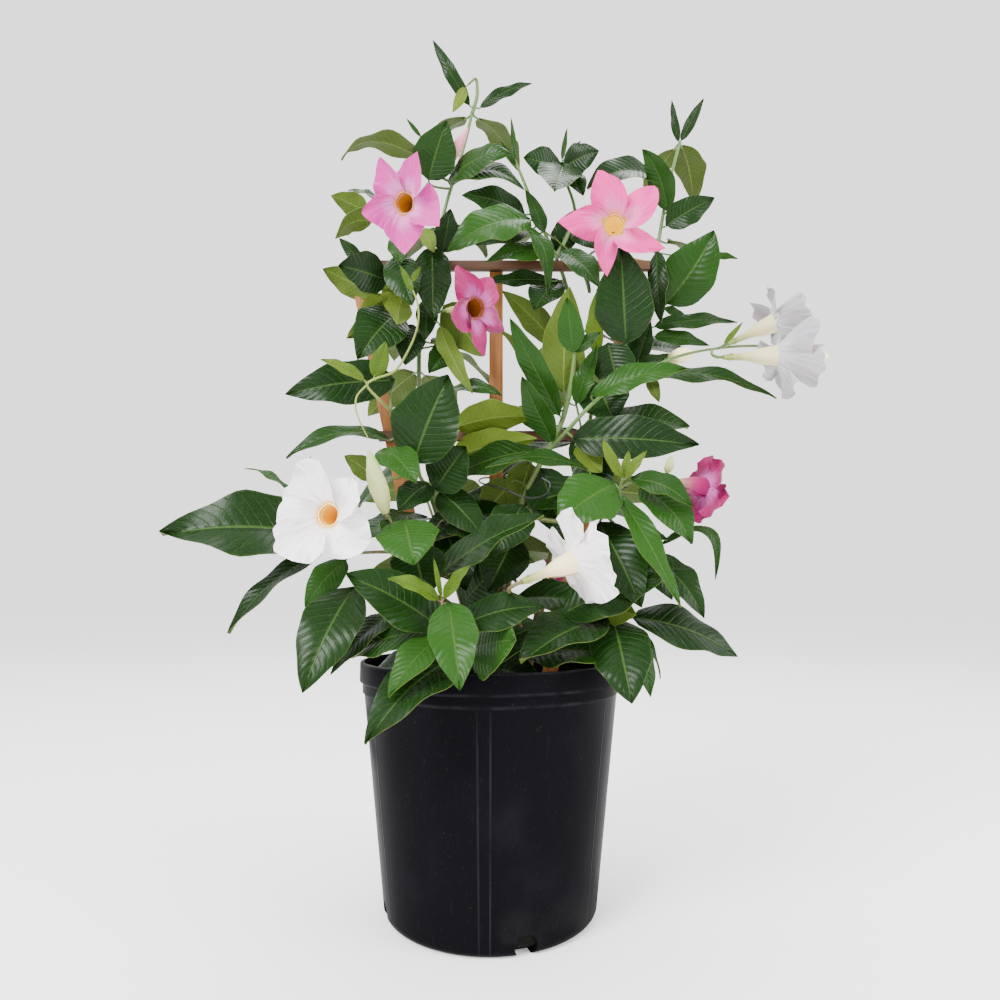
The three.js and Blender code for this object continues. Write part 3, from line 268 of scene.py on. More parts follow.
    "ways": [
      [[391, 411, 45], [380, 400, 62], [367, 385, 72], [380, 377, 72], [396, 370, 70], [411, 345, 68],
       [418, 324, 68], [418, 306, 68], [414, 293, 68], [410, 282, 68]],
      [[367, 385, 72], [357, 396, 76], [356, 410, 78], [361, 424, 80], [368, 438, 82]],
    ],
    "leaves": [
      [[364, 380, 73], [321, 360, 78], 10, [0, 0.4, 0.9], 0.15],
      [[374, 377, 72], [386, 341, 78], 15, [0.2, 0, 1], 0.08],
      [[413, 292, 68], [400, 265, 70], 6, [0, 0, 1], 0.05],
      [[411, 282, 68], [421, 266, 70], 5, [0, 0, 1], 0.05],
    ],
  },
  "branch_left_low": {
    "from": "vine_left",
    "radius": 2.4,
    "ways": [
      [[455, 580, 15], [436, 572, 50], [412, 552, 80], [394, 528, 96], [388, 516, 102]],
      [[412, 552, 80], [378, 552, 88], [348, 552, 86], [326, 542, 76]],
    ],
    "leaves": [
      [[322, 536, 72], [163, 536, 104], 62, [0, 0.6, 0.8], 0.1],
      [[318, 556, 74], [230, 634, 98], 24, [-0.4, 0.6, 0.6], 0.12],
      [[346, 560, 82], [305, 607, 98], 24, [-0.3, 0.2, 0.9], 0.14],
      [[300, 502, 44], [244, 469, 46], 9, [0, 0.9, 0.4], 0.15],
      [[300, 482, 44], [311, 456, 46], 5, [0, 0, 1], 0.05],
      [[404, 522, 102], [414, 566, 138], 46, [0, 0.5, 0.85], 0.1],
      [[386, 520, 96], [392, 557, 112], 22, [0.6, 0.3, 0.7], 0.1],
      [[414, 548, 86], [426, 600, 108], 42, [0, 0.3, 0.95], 0.1],
      [[438, 576, 60], [545, 518, 132], 38, [0, 0.6, 0.8], 0.1],
      [[446, 520, 40], [487, 540, 60], 26, [0, 0.5, 0.85], 0.1],
    ],
  },
  "branch_mid": {
    "from": "vine_left",
    "radius": 2.2,
    "ways": [[[433, 492, 6], [444, 476, 12], [448, 464, 14], [448, 452, 16]]],
    "leaves": [
      [[455, 427, 30], [540, 412, 56], 32, [0, 0.35, -0.9], 0.14],
      [[452, 457, 16], [536, 439, 44], 32, [0, 0.3, -0.95], 0.1],
    ],
  },
  "branch_front": {
    "foot": [-34, -40],
    "radius": 2.4,
    "ways": [
      [[460, 662, 70], [450, 648, 104], [445, 633, 124], [443, 618, 132], [442, 602, 135]],
      [[450, 648, 104], [425, 628, 100], [400, 612, 96], [375, 596, 98], [358, 588, 98]],
    ],
    "leaves": [
      [[438, 600, 135], [388, 580, 152], 16, [0, 0.7, 0.7], 0.12],
      [[444, 598, 135], [470, 566, 150], 11, [-0.3, 0.4, 0.8], 0.1],
      [[442, 598, 135], [439, 556, 138], 4, [0, 0, 1], 0.03],
      [[443, 636, 130], [390, 698, 172], 28, [-0.3, 0.5, 0.8], 0.12],
      [[449, 604, 134], [460, 691, 178], 34, [0, 0.3, 0.95], 0.1],
      [[474, 648, 104], [522, 643, 138], 52, [0.1, 0.25, 0.95], 0.08],
      [[468, 654, 100], [366, 745, 182], 42, [-0.2, 0.6, 0.8], 0.14],
      [[440, 628, 120], [347, 577, 132], 42, [0, 0.5, 0.85], 0.1],
      [[354, 588, 98], [303, 693, 152], 44, [-0.2, 0.3, 0.9], 0.12],
      [[394, 614, 94], [331, 675, 122], 28, [-0.1, 0.9, 0.4], 0.1],
    ],
  },
  "branch_back_left": {
    "foot": [-34, 36],
    "radius": 2.2,
    "ways": [[[466, 610, -48], [446, 552, -72], [424, 490, -86], [414, 430, -84], [420, 372, -70]]],
    "leaves": [],
  },
  "branch_back_right": {
    "foot": [40, 38],
    "radius": 2.2,
    "ways": [[[542, 612, -50], [562, 556, -76], [578, 496, -90], [582, 436, -88], [570, 380, -72]]],
    "leaves": [],
  },
  "branch_front_right": {
    "foot": [30, -36],
    "radius": 2.4,
    "ways": [
      [[520, 660, 60], [530, 640, 80], [552, 622, 88], [580, 612, 88], [604, 612, 86], [618, 618, 84]],
      [[530, 640, 80], [516, 618, 96], [509, 600, 104], [511, 594, 108]],
    ],
    "leaves": [
      [[596, 606, 90], [635, 614, 112], 26, [0.2, 0, -0.95], 0.1],
      [[614, 620, 88], [632, 704, 142], 44, [0, 0.2, 0.97], 0.12],
      [[622, 622, 84], [650, 697, 112], 24, [0.5, 0.2, 0.8], 0.12],
      [[626, 624, 80], [660, 679, 92], 10, [0.6, 0.6, 0.3], 0.15],
      [[602, 620, 86], [521, 664, 134], 48, [0, 0.8, 0.6], 0.08],
    ],
  },
}

# Blooms: [shoot, middle of the mouth, way it faces, diameter, colour, turn about its own axis, cup], where
# the cup is how far the petals reach forwards
blooms = {
  "bloom_pink_left": ["vine_left", [404, 203, 96], [-0.5, 0.1, 0.86], 86, "pink", 50, 0.22],
  "bloom_pink_right": ["vine_right", [614, 225, 86], [0.02, 0.15, 0.98], 98, "pink", 39, 0.1],
  "bloom_rose_middle": ["vine_left", [476, 308, 92], [0.55, 0.05, 0.83], 80, "rose", 52, 0.25],
  "bloom_rose_right": ["branch_right_low", [704, 488, 60], [0.72, -0.2, -0.66], 66, "rose", 0, 0.3],
  "bloom_white_left": ["branch_left_low", [328, 515, 116], [-0.55, 0.1, 0.83], 90, "white", 30, 0.4],
  "bloom_white_low": ["branch_front_right", [574, 562, 128], [0.8, 0.3, -0.48], 86, "white", 10, 0.25],
  "bloom_white_upper": ["branch_right_mid", [776, 322, 22], [0.93, 0.3, -0.2], 72, "white", 0, 0.15],
  "bloom_white_lower": ["branch_right_mid", [778, 356, 66], [0.95, -0.1, -0.28], 80, "white", 40, 0.2],
  "bloom_pink_back": ["vine_right", [630, 300, -84], [-0.2, 0.2, -0.95], 84, "pink", 0, 0.2],
  "bloom_rose_back": ["branch_back_right", [574, 566, -124], [0.1, 0.1, -0.98], 84, "rose", 0, 0.2],
}

# Furled buds: [shoot, base, tip, width, colour]
buds = {
  "bud_pink_top": ["vine_left", [443, 171, 30], [468, 128, 44], 12, "pink"],
  "bud_green_left": ["branch_left_low", [386, 514, 112], [368, 450, 122], 16, "greenBud"],
  "bud_white_mid": ["branch_right_mid", [668, 359, 24], [696, 352, 26], 16, "white"],
  "bud_white_right": ["branch_right_mid", [798, 351, 6], [829, 357, 8], 13, "white"],
  "bud_green_right": ["branch_right_low", [667, 473, 90], [672, 456, 96], 8, "greenBud"],
}

# Wire that ties the stems to the middle stake
tieWay = [
  [505, 480, 3], [495, 478, 3.5], [483, 478, 5], [479, 481, 18], [484, 484, 34], [497, 487, 42],
  [511, 492, 46], [520, 496, 48], [534, 498, 48], [546, 494, 46], [550, 484, 42], [542, 478, 38],
]

# Leaves where the picture shows none or only their shade: pairs along each long stem, to the back in
# its upper part and to the sides in the dense lower part
filler = {
  "seed": 7, "lowest": 222, "width": 0.46, "stalk": 12, "rise": [-0.2, 0.3], "droop": [0.15, 0.5],
  "arch": 0.1, "behind": 30, "facing": {"out": (0.3, 0.5), "front": -0.6, "back": 0.5, "up": 0.6},
  "core": {"below": 470, "every": 54, "length": [72, 98], "angles": [55, 110]},
  "crown": {"every": 90, "length": [64, 84], "angles": [20, 75]},
}

# Small bends about a leaf's root, from which each leaf takes the one that brings its tip to the frame's:
# (turn, dip) in degrees, each to both sides
bendSteps = [(0, 6), (7, 0), (0, 12), (14, 0), (10, 10), (0, 20), (22, 0), (20, 16), (0, 32), (34, 0),
             (30, 28)]
bends = [(0, 0)]
for turn, dip in bendSteps:
    bends += [(t, d) for d in dict.fromkeys((dip, -dip)) for t in dict.fromkeys((turn, -turn))]

# Leaves that aren't plain mid green, by their number on the shoot
leafTones = {
    "young": {"vine_left": [1, 13, 14, 15, 29], "vine_centre": [19], "branch_right_low": [0, 1, 2],
              "young_vine": [0, 1, 2, 3], "branch_mid": [0, 1], "branch_front": [0, 1, 2],
              "branch_right_mid": [4, 5]},
    "olive": {"vine_left": [7, 9, 12, 22, 27], "vine_centre": [18, 21, 22], "branch_left_low": [2],
              "branch_front_right": [0]},
    "bright": {"vine_centre": [4, 16, 24], "branch_right_low": [5, 9], "branch_front": [3, 4, 5],
               "branch_left": [4], "branch_left_low": [5], "branch_right_mid": [0]},
    "dark": {"vine_left": [0, 2, 6, 10, 11, 16, 17, 18, 19, 21, 30, 32],
             "vine_centre": [3, 7, 8, 10, 11, 12, 25, 26, 27, 28, 29, 32, 33, 34, 35],
             "vine_right": [0, 1, 3, 4, 7, 9, 12, 13, 14, 16], "branch_right_mid": [1, 3],
             "branch_right_low": [7, 8, 11], "branch_left": [0, 1, 2, 3, 7],
             "branch_left_low": [0, 1, 7, 8, 9], "branch_front": [6, 7, 8, 9], "branch_front_right": [1, 4]},
}
toneValues = {"dark": 0.12, "olive": 0.55, "bright": 0.64, "young": 0.9}
plainTones, fillerTones = (0.25, 0.5), (0.05, 0.35)


def pathOf(way, foot):
    places = [seen(place) for place in way]
    if foot:
        heights = (soilSizes["top"] - stemSizes["buried"], soilSizes["top"] + stemSizes["upright"])
        places = [Vector((*foot, height)) for height in heights] + places
    return places


def smoothed(places, rounds=3):
    for _ in range(rounds):
        row = [2 * places[0] - places[1], *places, 2 * places[-1] - places[-2]]
        finer = [places[0]]
        for i in range(1, len(row) - 2):
            finer.append((row[i] + row[i + 1]) * (9 / 16) - (row[i - 1] + row[i + 2]) / 16)
            finer.append(row[i + 1])
        places = finer
    return places


def nearestOn(paths, place):
    best = None
    lowest = soilSizes["top"] + stemSizes["lowestRoot"]
    for path in paths:
        for a, b in zip(path, path[1:]):
            point, share = intersect_point_line(place, a, b)
            point = a.lerp(b, min(max(share, 0), 1))
            if point.z >= lowest and (best is None or (point - place).length < (best - place).length):
                best = point
    return best


def leafFrom(paths, line):
    base, tip, width, facing, arch = line[:5]
    start, end = seen(base), seen(tip)
    normal = seenDirection(start, facing)
    middle = seen(line[5]) if len(line) > 5 else (start + end) / 2
    middle = middle + normal * arch * (end - start).length
    return {"root": nearestOn(paths, start), "start": start, "middle": middle, "end": end,
            "normal": normal, "width": width}


def bentBy(leaf, bend):
    ahead = (leaf["end"] - leaf["root"]).normalized()
    side = leaf["normal"].cross(ahead).normalized()
    spin = Quaternion(leaf["normal"], math.radians(bend[0])) @ Quaternion(side, math.radians(bend[1]))
    bent = dict(leaf)
    for part in ("start", "middle", "end"):
        bent[part] = spin @ (leaf[part] - leaf["root"]) + leaf["root"]
    bent["normal"] = spin @ leaf["normal"]
    return bent


drawn = filler["seed"]


def draw(low, high):
    global drawn
    drawn = (drawn * 1664525 + 1013904223) % 4294967296
    return low + (high - low) * drawn / 4294967296


def fillersOf(path):
    found = []
    walked = 0
    for before, place in zip(path, path[1:]):
        walked += (place - before).length
        kind = filler["core"] if place.z < filler["core"]["below"] else filler["crown"]
        if walked < kind["every"] or place.z < filler["lowest"]:
            continue
        walked = 0
        for side in (-1, 1):
            angle = side * math.radians(draw(*kind["angles"]))
            length = draw(*kind["length"])
            out = Vector((math.sin(angle), math.cos(angle), draw(*filler["rise"]))).normalized()
            start = place + out * filler["stalk"]
            end = start + out * length
            end.z -= length * draw(*filler["droop"])
            facing = filler["facing"]
            away = facing["back" if place.y > filler["behind"] else "front"]
            across, near = facing["out"]
            normal = Vector((across * out.x, near * out.y + away, facing["up"])).normalized()
            middle = (start + end) / 2 + normal * filler["arch"] * length
            found.append({"root": place, "start": start, "middle": middle, "end": end, "normal": normal,
                          "width": filler["width"] * length})
    return found


tipGap = 0.3                                     # how far a leaf's tip may be from the frame's, in mm


def keptLeaves():
    # each leaf takes the bend that brings its tip nearest to a corner of the frame, and is kept if that is
    # close enough
    kept = {name: [] for name in shoots}
    tips = {}
    for name in shoots:
        corners = [v.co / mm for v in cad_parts[name].data.vertices]
        tips[name] = KDTree(len(corners))
        for i, corner in enumerate(corners):
            tips[name].insert(corner, i)
        tips[name].balance()
    paths = {name: [pathOf(way, shoot.get("foot") if i == 0 else None)
                    for i, way in enumerate(shoot["ways"])]
             for name, shoot in shoots.items()}

    def add(name, leaf, tone):
        tries = [bentBy(leaf, bend) for bend in bends]
        reach = [tips[name].find(leaf["end"])[2] for leaf in tries]
        best = min(range(len(bends)), key=reach.__getitem__)
        if reach[best] < tipGap:
            kept[name].append({**tries[best], "tone": tone})

    toneOf = {(name, i): toneValues[tone] for tone, lists in leafTones.items()
              for name, numbers in lists.items() for i in numbers}
    chance = np.random.default_rng(seeds["tones"])
    for name, shoot in shoots.items():
        for i, line in enumerate(shoot["leaves"]):
            add(name, leafFrom(paths[name], line), toneOf.get((name, i), chance.uniform(*plainTones)))
    for name, shoot in shoots.items():
        for leaf in fillersOf(paths[name][0]) if shoot.get("foot") else []:
            add(name, leaf, chance.uniform(*fillerTones))
    return kept, paths


class Value:                                     # a socket, so that shader maths reads as maths
    def __init__(self, finish, socket):
        self.finish, self.socket = finish, socket

    def math(self, operation, *others):
        return self.finish.node("Math", {"operation": operation}, dict(enumerate((self, *others))))

    def __add__(self, other):
        return self.math("ADD", other)

    def __sub__(self, other):
        return self.math("SUBTRACT", other)

    def __rsub__(self, other):
        return self.finish.node("Math", {"operation": "SUBTRACT"}, {0: other, 1: self})

    def __mul__(self, other):
        return self.math("MULTIPLY", other)

    __radd__, __rmul__ = __add__, __mul__

    def __abs__(self):
        return self.math("ABSOLUTE")

    def within(self, low, high):                 # 0 at low, 1 at high, held between
        return self.finish.node("MapRange", {"clamp": True, "interpolation_type": "SMOOTHSTEP"},
                                {"Value": self, "From Min": low, "From Max": high})


class Finish:                                    # one material on a Principled shader
    def __init__(self, name, **constants):
        self.material = bpy.data.materials.new(name)
        self.material.use_nodes = True
        self.tree = self.material.node_tree
        self.shader = self.tree.nodes["Principled BSDF"]
        for socket, value in constants.items():
            self.shader.inputs[socket.replace("_", " ")].default_value = value

    def node(self, kind, settings=None, inputs=None, output=None):
        made = self.tree.nodes.new("ShaderNode" + kind)
        for key, value in (settings or {}).items():
            if key == "stops":
                elements = made.color_ramp.elements
                while len(elements) < len(value):
                    elements.new(0.5)
                for element, (place, colour) in zip(elements, value):
                    element.position, element.color = place, (*colour, 1)
            else:
                setattr(made, key, value)
        for key, value in (inputs or {}).items():
            if isinstance(value, Value):
                self.tree.links.new(value.socket, made.inputs[key])
            elif isinstance(value, tuple) and made.inputs[key].type == "RGBA":
                made.inputs[key].default_value = (*value, 1)
            else:
                made.inputs[key].default_value = value
        sockets = [s for s in made.outputs if s.enabled]
        return Value(self, made.outputs[output] if output else sockets[0])

    def split(self, vector, axis):
        return self.node("SeparateXYZ", None, {0: vector}, axis)

    def mix(self, share, first, second):
        return self.node("Mix", {"data_type": "RGBA"}, {0: share, 6: first, 7: second}, 2)

    def noise(self, vector, scale, detail=3):
        if isinstance(scale, tuple):
            vector, scale = self.stretched(vector, scale), 1
        return self.node("TexNoise", None, {"Vector": vector, "Scale": scale, "Detail": detail})

    def stretched(self, vector, scale):
        return self.node("Mapping", None, {"Vector": vector, "Scale": scale})

    def bump(self, height, distance, strength=1):
        return self.node("Bump", None, {"Height": height, "Distance": distance, "Strength": strength})

    def feed(self, **sockets):
        for name, value in sockets.items():
            self.tree.links.new(value.socket, self.shader.inputs[name.replace("_", " ")])
        return self.material

    def objectPlace(self):
        return self.node("TexCoord", None, None, "Object")

    def sheetPlace(self):
        return self.node("UVMap", {"uv_map": "UVMap"})

    def attribute(self, name):
        return self.node("Attribute", {"attribute_name": name}, None, "Fac")


leafLook = {
    "dark": (0.0019, 0.0094, 0.0019), "mid": (0.0069, 0.031, 0.0025), "bright": (0.0145, 0.057, 0.0052),
    "young": (0.082, 0.126, 0.010), "under": (0.047, 0.075, 0.01),
    "sideVeins": 13, "veinRise": 2.3, "netCells": (22, 44, 1), "net": 0.1,
}
# What differs between a leaf's two faces: its sheen, and how far its veins stand out of it
leafFaces = {
    "leafTop": {"gloss": 0.24, "shine": 0.2, "vein": (0.041, 0.084, 0.014), "rises": (-0.05, -0.6, -0.6)},
    "leafUnder": {"gloss": 0.5, "shine": 0.45, "vein": (0.163, 0.212, 0.044), "rises": (0.08, 0.8, 0.5)},
}


def veinRow(across, along):                      # goes up by one from each side vein to the next
    return along * leafLook["sideVeins"] - (across * 0.8 + across * across * 0.2) * leafLook["veinRise"]


def leafVeins(finish):
    uv = finish.sheetPlace()
    across = abs(finish.split(uv, "X") * 2 - 1)
    rib = 1 - across.within(0.015, 0.06)
    row = veinRow(across, finish.split(uv, "Y"))
    swing = abs((row.math("FRACT") - 0.5) * 2)   # 1 on a side vein, 0 half way between two
    vein = swing.within(0.86, 1.0) * (1 - across.within(0.75, 1.0) * 0.6)
    return across, rib, vein, swing


def leafFinish(name):
    face = leafFaces[name]
    finish = Finish(name, Roughness=face["gloss"], Specular_IOR_Level=0.1)
    across, rib, vein, swing = leafVeins(finish)
    place = finish.objectPlace()
    tone = finish.attribute("tone")
    mottle = finish.noise(place, 90, 2)
    stops = [(0.0, leafLook["dark"]), (0.35, leafLook["mid"]), (0.75, leafLook["bright"]),
             (1.0, leafLook["young"])]
    shade = tone + (mottle - 0.5) * 0.14 + (swing - 0.5) * -0.05
    colour = finish.node("ValToRGB", {"stops": stops}, {"Fac": shade}, "Color")
    if name == "leafUnder":
        colour = finish.mix(0.75, colour, finish.mix(tone, leafLook["under"], leafLook["young"]))
    rim = across.within(0.93, 1.0) * 0.25
    cells = finish.node("TexVoronoi", {"feature": "DISTANCE_TO_EDGE"},
                        {"Vector": finish.stretched(finish.sheetPlace(), leafLook["netCells"]), "Scale": 1},
                        "Distance")
    net = 1 - cells.within(0.02, 0.14)           # the fine veins between the side veins
    veins = (rib * 0.6 + vein * 0.3 + rim + net * leafLook["net"]).math("MINIMUM", 0.7)
    netRise, ribRise, sideRise = face["rises"]
    height = swing * -0.45 + net * netRise + rib * ribRise + vein * sideRise
    height = height + finish.noise(place, 420, 2) * 0.08 + mottle * 0.4
    return finish.feed(Base_Color=finish.mix(veins, colour, face["vein"]),
                       Roughness=face["shine"] + finish.noise(place, 260, 2) * 0.12 + rib * 0.1,
                       Normal=finish.bump(height, 0.0007, 0.62))


stemLook = {"green": (0.062, 0.125, 0.022), "young": (0.163, 0.225, 0.031), "blush": (0.125, 0.081, 0.031),
            "wood": (0.1, 0.053, 0.022), "bark": (0.175, 0.106, 0.05), "woodBelow": 0.34, "change": 0.12}


def stemFinish(name, young=False):
    finish = Finish(name, Specular_IOR_Level=0.4)
    place = finish.objectPlace()
    middle, change = stemLook["woodBelow"], stemLook["change"]
    woody = 1 - finish.split(place, "Z").within(middle - change, middle + change)
    woody = woody * (0.1 if young else 1.0)
    streaks = finish.noise(place, (700, 700, 60))
    bark = finish.mix(streaks.within(0.4, 0.7), stemLook["wood"], stemLook["bark"])
    flush = finish.noise(place, 60, 2).within(0.5, 0.75) * 0.5
    green = finish.mix(flush, stemLook["young" if young else "green"], stemLook["blush"])
    return finish.feed(Base_Color=finish.mix(woody, green, bark), Roughness=0.42 + woody * 0.3,
                       Normal=finish.bump(streaks, 0.0004, 0.6))


# each look's stripe colour serves for the petal's own streaks and for painted shade in its creases and folds
petalLooks = {
    "pink": {"edge": (0.44, 0.018, 0.23), "pale": (0.56, 0.16, 0.42), "stripe": (0.34, 0.010, 0.17),
             "throat": (0.45, 0.169, 0.0019), "deep": (0.25, 0.088, 0.0019),
             "outside": (0.562, 0.212, 0.262)},
    "candy": {"edge": (0.62, 0.022, 0.23), "pale": (0.65, 0.155, 0.37), "stripe": (0.48, 0.010, 0.16),
              "throat": (0.562, 0.325, 0.0013), "deep": (0.55, 0.312, 0.0013),
              "outside": (0.562, 0.212, 0.262), "glow": 1.8},
    "rose": {"edge": (0.262, 0.0013, 0.088), "pale": (0.412, 0.075, 0.287), "stripe": (0.125, 0.0006, 0.037),
             "throat": (0.25, 0.075, 0.0025), "deep": (0.125, 0.031, 0.0019), "outside": (0.287, 0.005, 0.1)},
    # the white look made darker and greyer: painted shade for the two white blooms on the right that sit in
    # shade
    "cool": {"edge": (0.34, 0.34, 0.36), "pale": (0.47, 0.45, 0.47), "stripe": (0.17, 0.17, 0.20),
             "throat": (0.62, 0.34, 0.10), "deep": (0.50, 0.26, 0.06), "outside": (0.62, 0.56, 0.30)},
    "white": {"edge": (0.88, 0.84, 0.86), "pale": (0.92, 0.84, 0.84), "stripe": (0.40, 0.31, 0.37),
              "throat": (0.82, 0.44, 0.003), "deep": (0.72, 0.32, 0.002), "outside": (0.92, 0.80, 0.44),
              "glow": 0.06},
}
petalLooks["greenBud"] = {**petalLooks["white"], "outside": (0.344, 0.387, 0.15), "glow": 0.05}
# how strongly a throat glows where its look gives no strength: painted light inside the shaded tube
plainPaintedGlow = 0.05
footGreen = (0.262, 0.287, 0.088)


def petalFinish(name, look, back=False):
    finish = Finish(name, Specular_IOR_Level=0.25, Subsurface_Weight=0.15, Subsurface_Scale=0.002,
                    Sheen_Weight=0.1)
    uv = finish.sheetPlace()
    across = abs(finish.split(uv, "X") * 2 - 1)
    along = finish.split(uv, "Y")
    lines = finish.noise(uv, (30, 1.4, 1), 2)
    soft = finish.noise(finish.objectPlace(), 55, 2)
    folds = finish.noise(uv, (7, 1.6, 1), 1)
    reach = along + (soft - 0.5) * 0.3 + (lines - 0.5) * 0.25
    colour = finish.mix(reach.within(0.12, 0.62), look["pale"], look["edge"])
    # darker streaks: on the coloured petals their own veining, on the white ones painted shade in fine
    # creases
    colour = finish.mix(lines.within(0.52, 0.7) * 0.4, colour, look["stripe"])
    # darker where the broad folds lie, towards the middle of the petal: painted shade in the folds
    colour = finish.mix(folds.within(0.52, 0.66) * 0.35 * along.within(0.1, 0.4), colour, look["stripe"])
    colour = finish.mix(across.within(0.88, 1.0) * 0.3, colour, look["pale"])
    if not back:
        colour = finish.mix(1 - (along + (lines - 0.5) * 0.1).within(0.05, 0.16), colour, look["throat"])
    return finish.feed(Base_Color=colour, Roughness=0.5 + soft * 0.15,
                       Normal=finish.bump(lines * 0.7 + soft * 0.4 + folds * 3, 0.0009, 0.9))


def throatFinish(name, look):
    # the throat glows in its own colour, faintly in most looks and strongly in the candy one: painted light
    # that brightens the shaded inside of the tube
    finish = Finish(name, Specular_IOR_Level=0.25, Emission_Strength=look.get("glow", plainPaintedGlow))
    along = finish.split(finish.sheetPlace(), "Y")
    soft = finish.noise(finish.objectPlace(), 160)
    # darker towards the foot of the tube: partly the throat's own deeper orange, partly painted shade down
    # inside the tube
    colour = finish.mix((along + (soft - 0.5) * 0.3).within(0.45, 0.85), look["deep"], look["throat"])
    return finish.feed(Base_Color=colour, Emission_Color=colour, Roughness=0.5 + soft * 0.2,
                       Normal=finish.bump(soft, 0.0006, 0.7))


def outsideFinish(name, look):
    finish = Finish(name, Specular_IOR_Level=0.3)
    along = finish.attribute("along")            # 0 at the bloom's foot, 1 at the mouth
    lines = finish.noise(finish.objectPlace(), 200)
    colour = finish.mix((along + (lines - 0.5) * 0.3).within(0.1, 0.75), footGreen, look["outside"])
    return finish.feed(Base_Color=colour, Roughness=0.5 + lines * 0.1,
                       Normal=finish.bump(lines, 0.0004, 0.5))


leafTop, leafUnder = leafFinish("leafTop"), leafFinish("leafUnder")
stemGreen, stemYoung = stemFinish("stem"), stemFinish("stemYoung", young=True)
calyxFinish = stemFinish("calyx", young=True)
petalFinishes = {look: (petalFinish(look + "Petal", shades), petalFinish(look + "PetalBack", shades, True),
                        throatFinish(look + "Throat", shades), outsideFinish(look + "Tube", shades))
                 for look, shades in petalLooks.items()}


def pick(piece):
    bpy.ops.object.select_all(action="DESELECT")
    piece.select_set(True)
    bpy.context.view_layer.objects.active = piece


def named(name):
    piece = bpy.context.object
    piece.name = piece.data.name = name
    return piece


def added(name, primitive, **settings):
    bpy.ops.object.select_all(action="DESELECT")
    primitive(**settings)
    return named(name)


def modified(piece, kind, **settings):
    pick(piece)
    modifier = piece.modifiers.new(kind.title(), kind)
    for key, value in settings.items():
        setattr(modifier, key, value)
    bpy.ops.object.modifier_apply(modifier=modifier.name)


def joined(pieces, name):
    pick(pieces[0])
    for piece in pieces[1:]:
        piece.select_set(True)
    if len(pieces) > 1:
        bpy.ops.object.join()
    return named(name)


def smoothShaded(piece, angle=50):
    pick(piece)
    bpy.ops.object.shade_smooth_by_angle(angle=math.radians(angle))


@contextmanager
def editing(piece):                              # edit mode, with all of the piece selected
    pick(piece)
    bpy.ops.object.mode_set(mode="EDIT")
    bpy.ops.mesh.select_all(action="SELECT")
    yield
    bpy.ops.object.mode_set(mode="OBJECT")


def facedOut(piece):
    with editing(piece):
        bpy.ops.mesh.normals_make_consistent(inside=False)


def merged(piece):
    with editing(piece):
        bpy.ops.mesh.remove_doubles(threshold=0.02 * mm)
    return piece


def cornersOf(piece):
    flat = np.empty(len(piece.data.vertices) * 3)
    piece.data.vertices.foreach_get("co", flat)
    return flat.reshape(-1, 3)


def setCorners(piece, corners):
    piece.data.vertices.foreach_set("co", corners.astype(np.float32).ravel())


def sheetModel(name, across, along):
    # a flat sheet with two faces one unit apart, that is copied and laid out to make every leaf and petal
    sheet = added(name, bpy.ops.mesh.primitive_grid_add, x_subdivisions=across, y_subdivisions=along, size=1)
    for _ in range(3):
        sheet.data.materials.append(None)
    modified(sheet, "SOLIDIFY", thickness=1, offset=0, material_offset=1, material_offset_rim=1)
    x, y, z = cornersOf(sheet).T
    return sheet, x, y + 0.5, z


leafSheet, *leafPlaces = sheetModel("leafModel", 10, 18)
petalSheet, *petalPlaces = sheetModel("petalModel", 16, 14)
tubeSheet, *tubePlaces = sheetModel("tubeModel", 40, 18)


def copied(model, name, corners):
    # a copy of a model with its own mesh, its corners where they belong in the frame (given in mm)
    piece = bpy.data.objects.new(name, model.data.copy())
    scene.collection.objects.link(piece)
    setCorners(piece, corners * mm)
    return piece


def laid(model, name, corners, finishes, **values):
    # a copied sheet with its finishes, and with values at its corners that the finishes read
    piece = copied(model, name, corners)
    for i, finish in enumerate(finishes):
        piece.data.materials[i] = finish
    for key, value in values.items():
        layer = piece.data.attributes.new(key, "FLOAT", "POINT")
        layer.data.foreach_set("value", np.broadcast_to(value, len(corners)).astype(np.float32))
    piece.data.update()
    return piece


def unit(rows):
    return rows / np.maximum(np.linalg.norm(rows, axis=-1, keepdims=True), 1e-9)


def ringed(radius, angle, height):
    return np.stack([radius * np.cos(angle), radius * np.sin(angle), height], 1)


def cordOf(name, lines, finish):
    # round stems through rows of places, each place with its radius, all in mm
    curve = bpy.data.curves.new(name, "CURVE")
    curve.dimensions = "3D"
    curve.bevel_depth = mm
    curve.bevel_resolution = 2
    curve.use_fill_caps = True
    for places, radii in lines:
        spline = curve.splines.new("POLY")
        spline.points.add(len(places) - 1)
        for point, place, radius in zip(spline.points, places, radii):
            point.co = (*(Vector(place) * mm), 1)
            point.radius = radius
    cord = bpy.data.objects.new(name, curve)
    scene.collection.objects.link(cord)
    pick(cord)
    bpy.ops.object.convert(target="MESH")
    cord = merged(named(name))
    facedOut(cord)
    cord.data.materials.clear()
    cord.data.materials.append(finish)
    return cord


# Thickness and quilt are in mm, and twist in degrees. Waves and nibbles say how often they come, and the
# first two are powers that put the widest place at two fifths of the length. The rest are shares.
leafShape = {
    "widestAt": 0.72, "roundness": 0.85, "halfWidth": 0.57, "thickness": 0.55, "fold": 0.12, "cup": 0.05,
    "cupSpread": 2.5, "wave": 0.03, "waves": (9, 15), "nibble": 0.03, "nibbles": 21, "twist": 7,
    "twistFrom": 0.15, "quilt": 0.34, "toneSpread": 0.03,
}


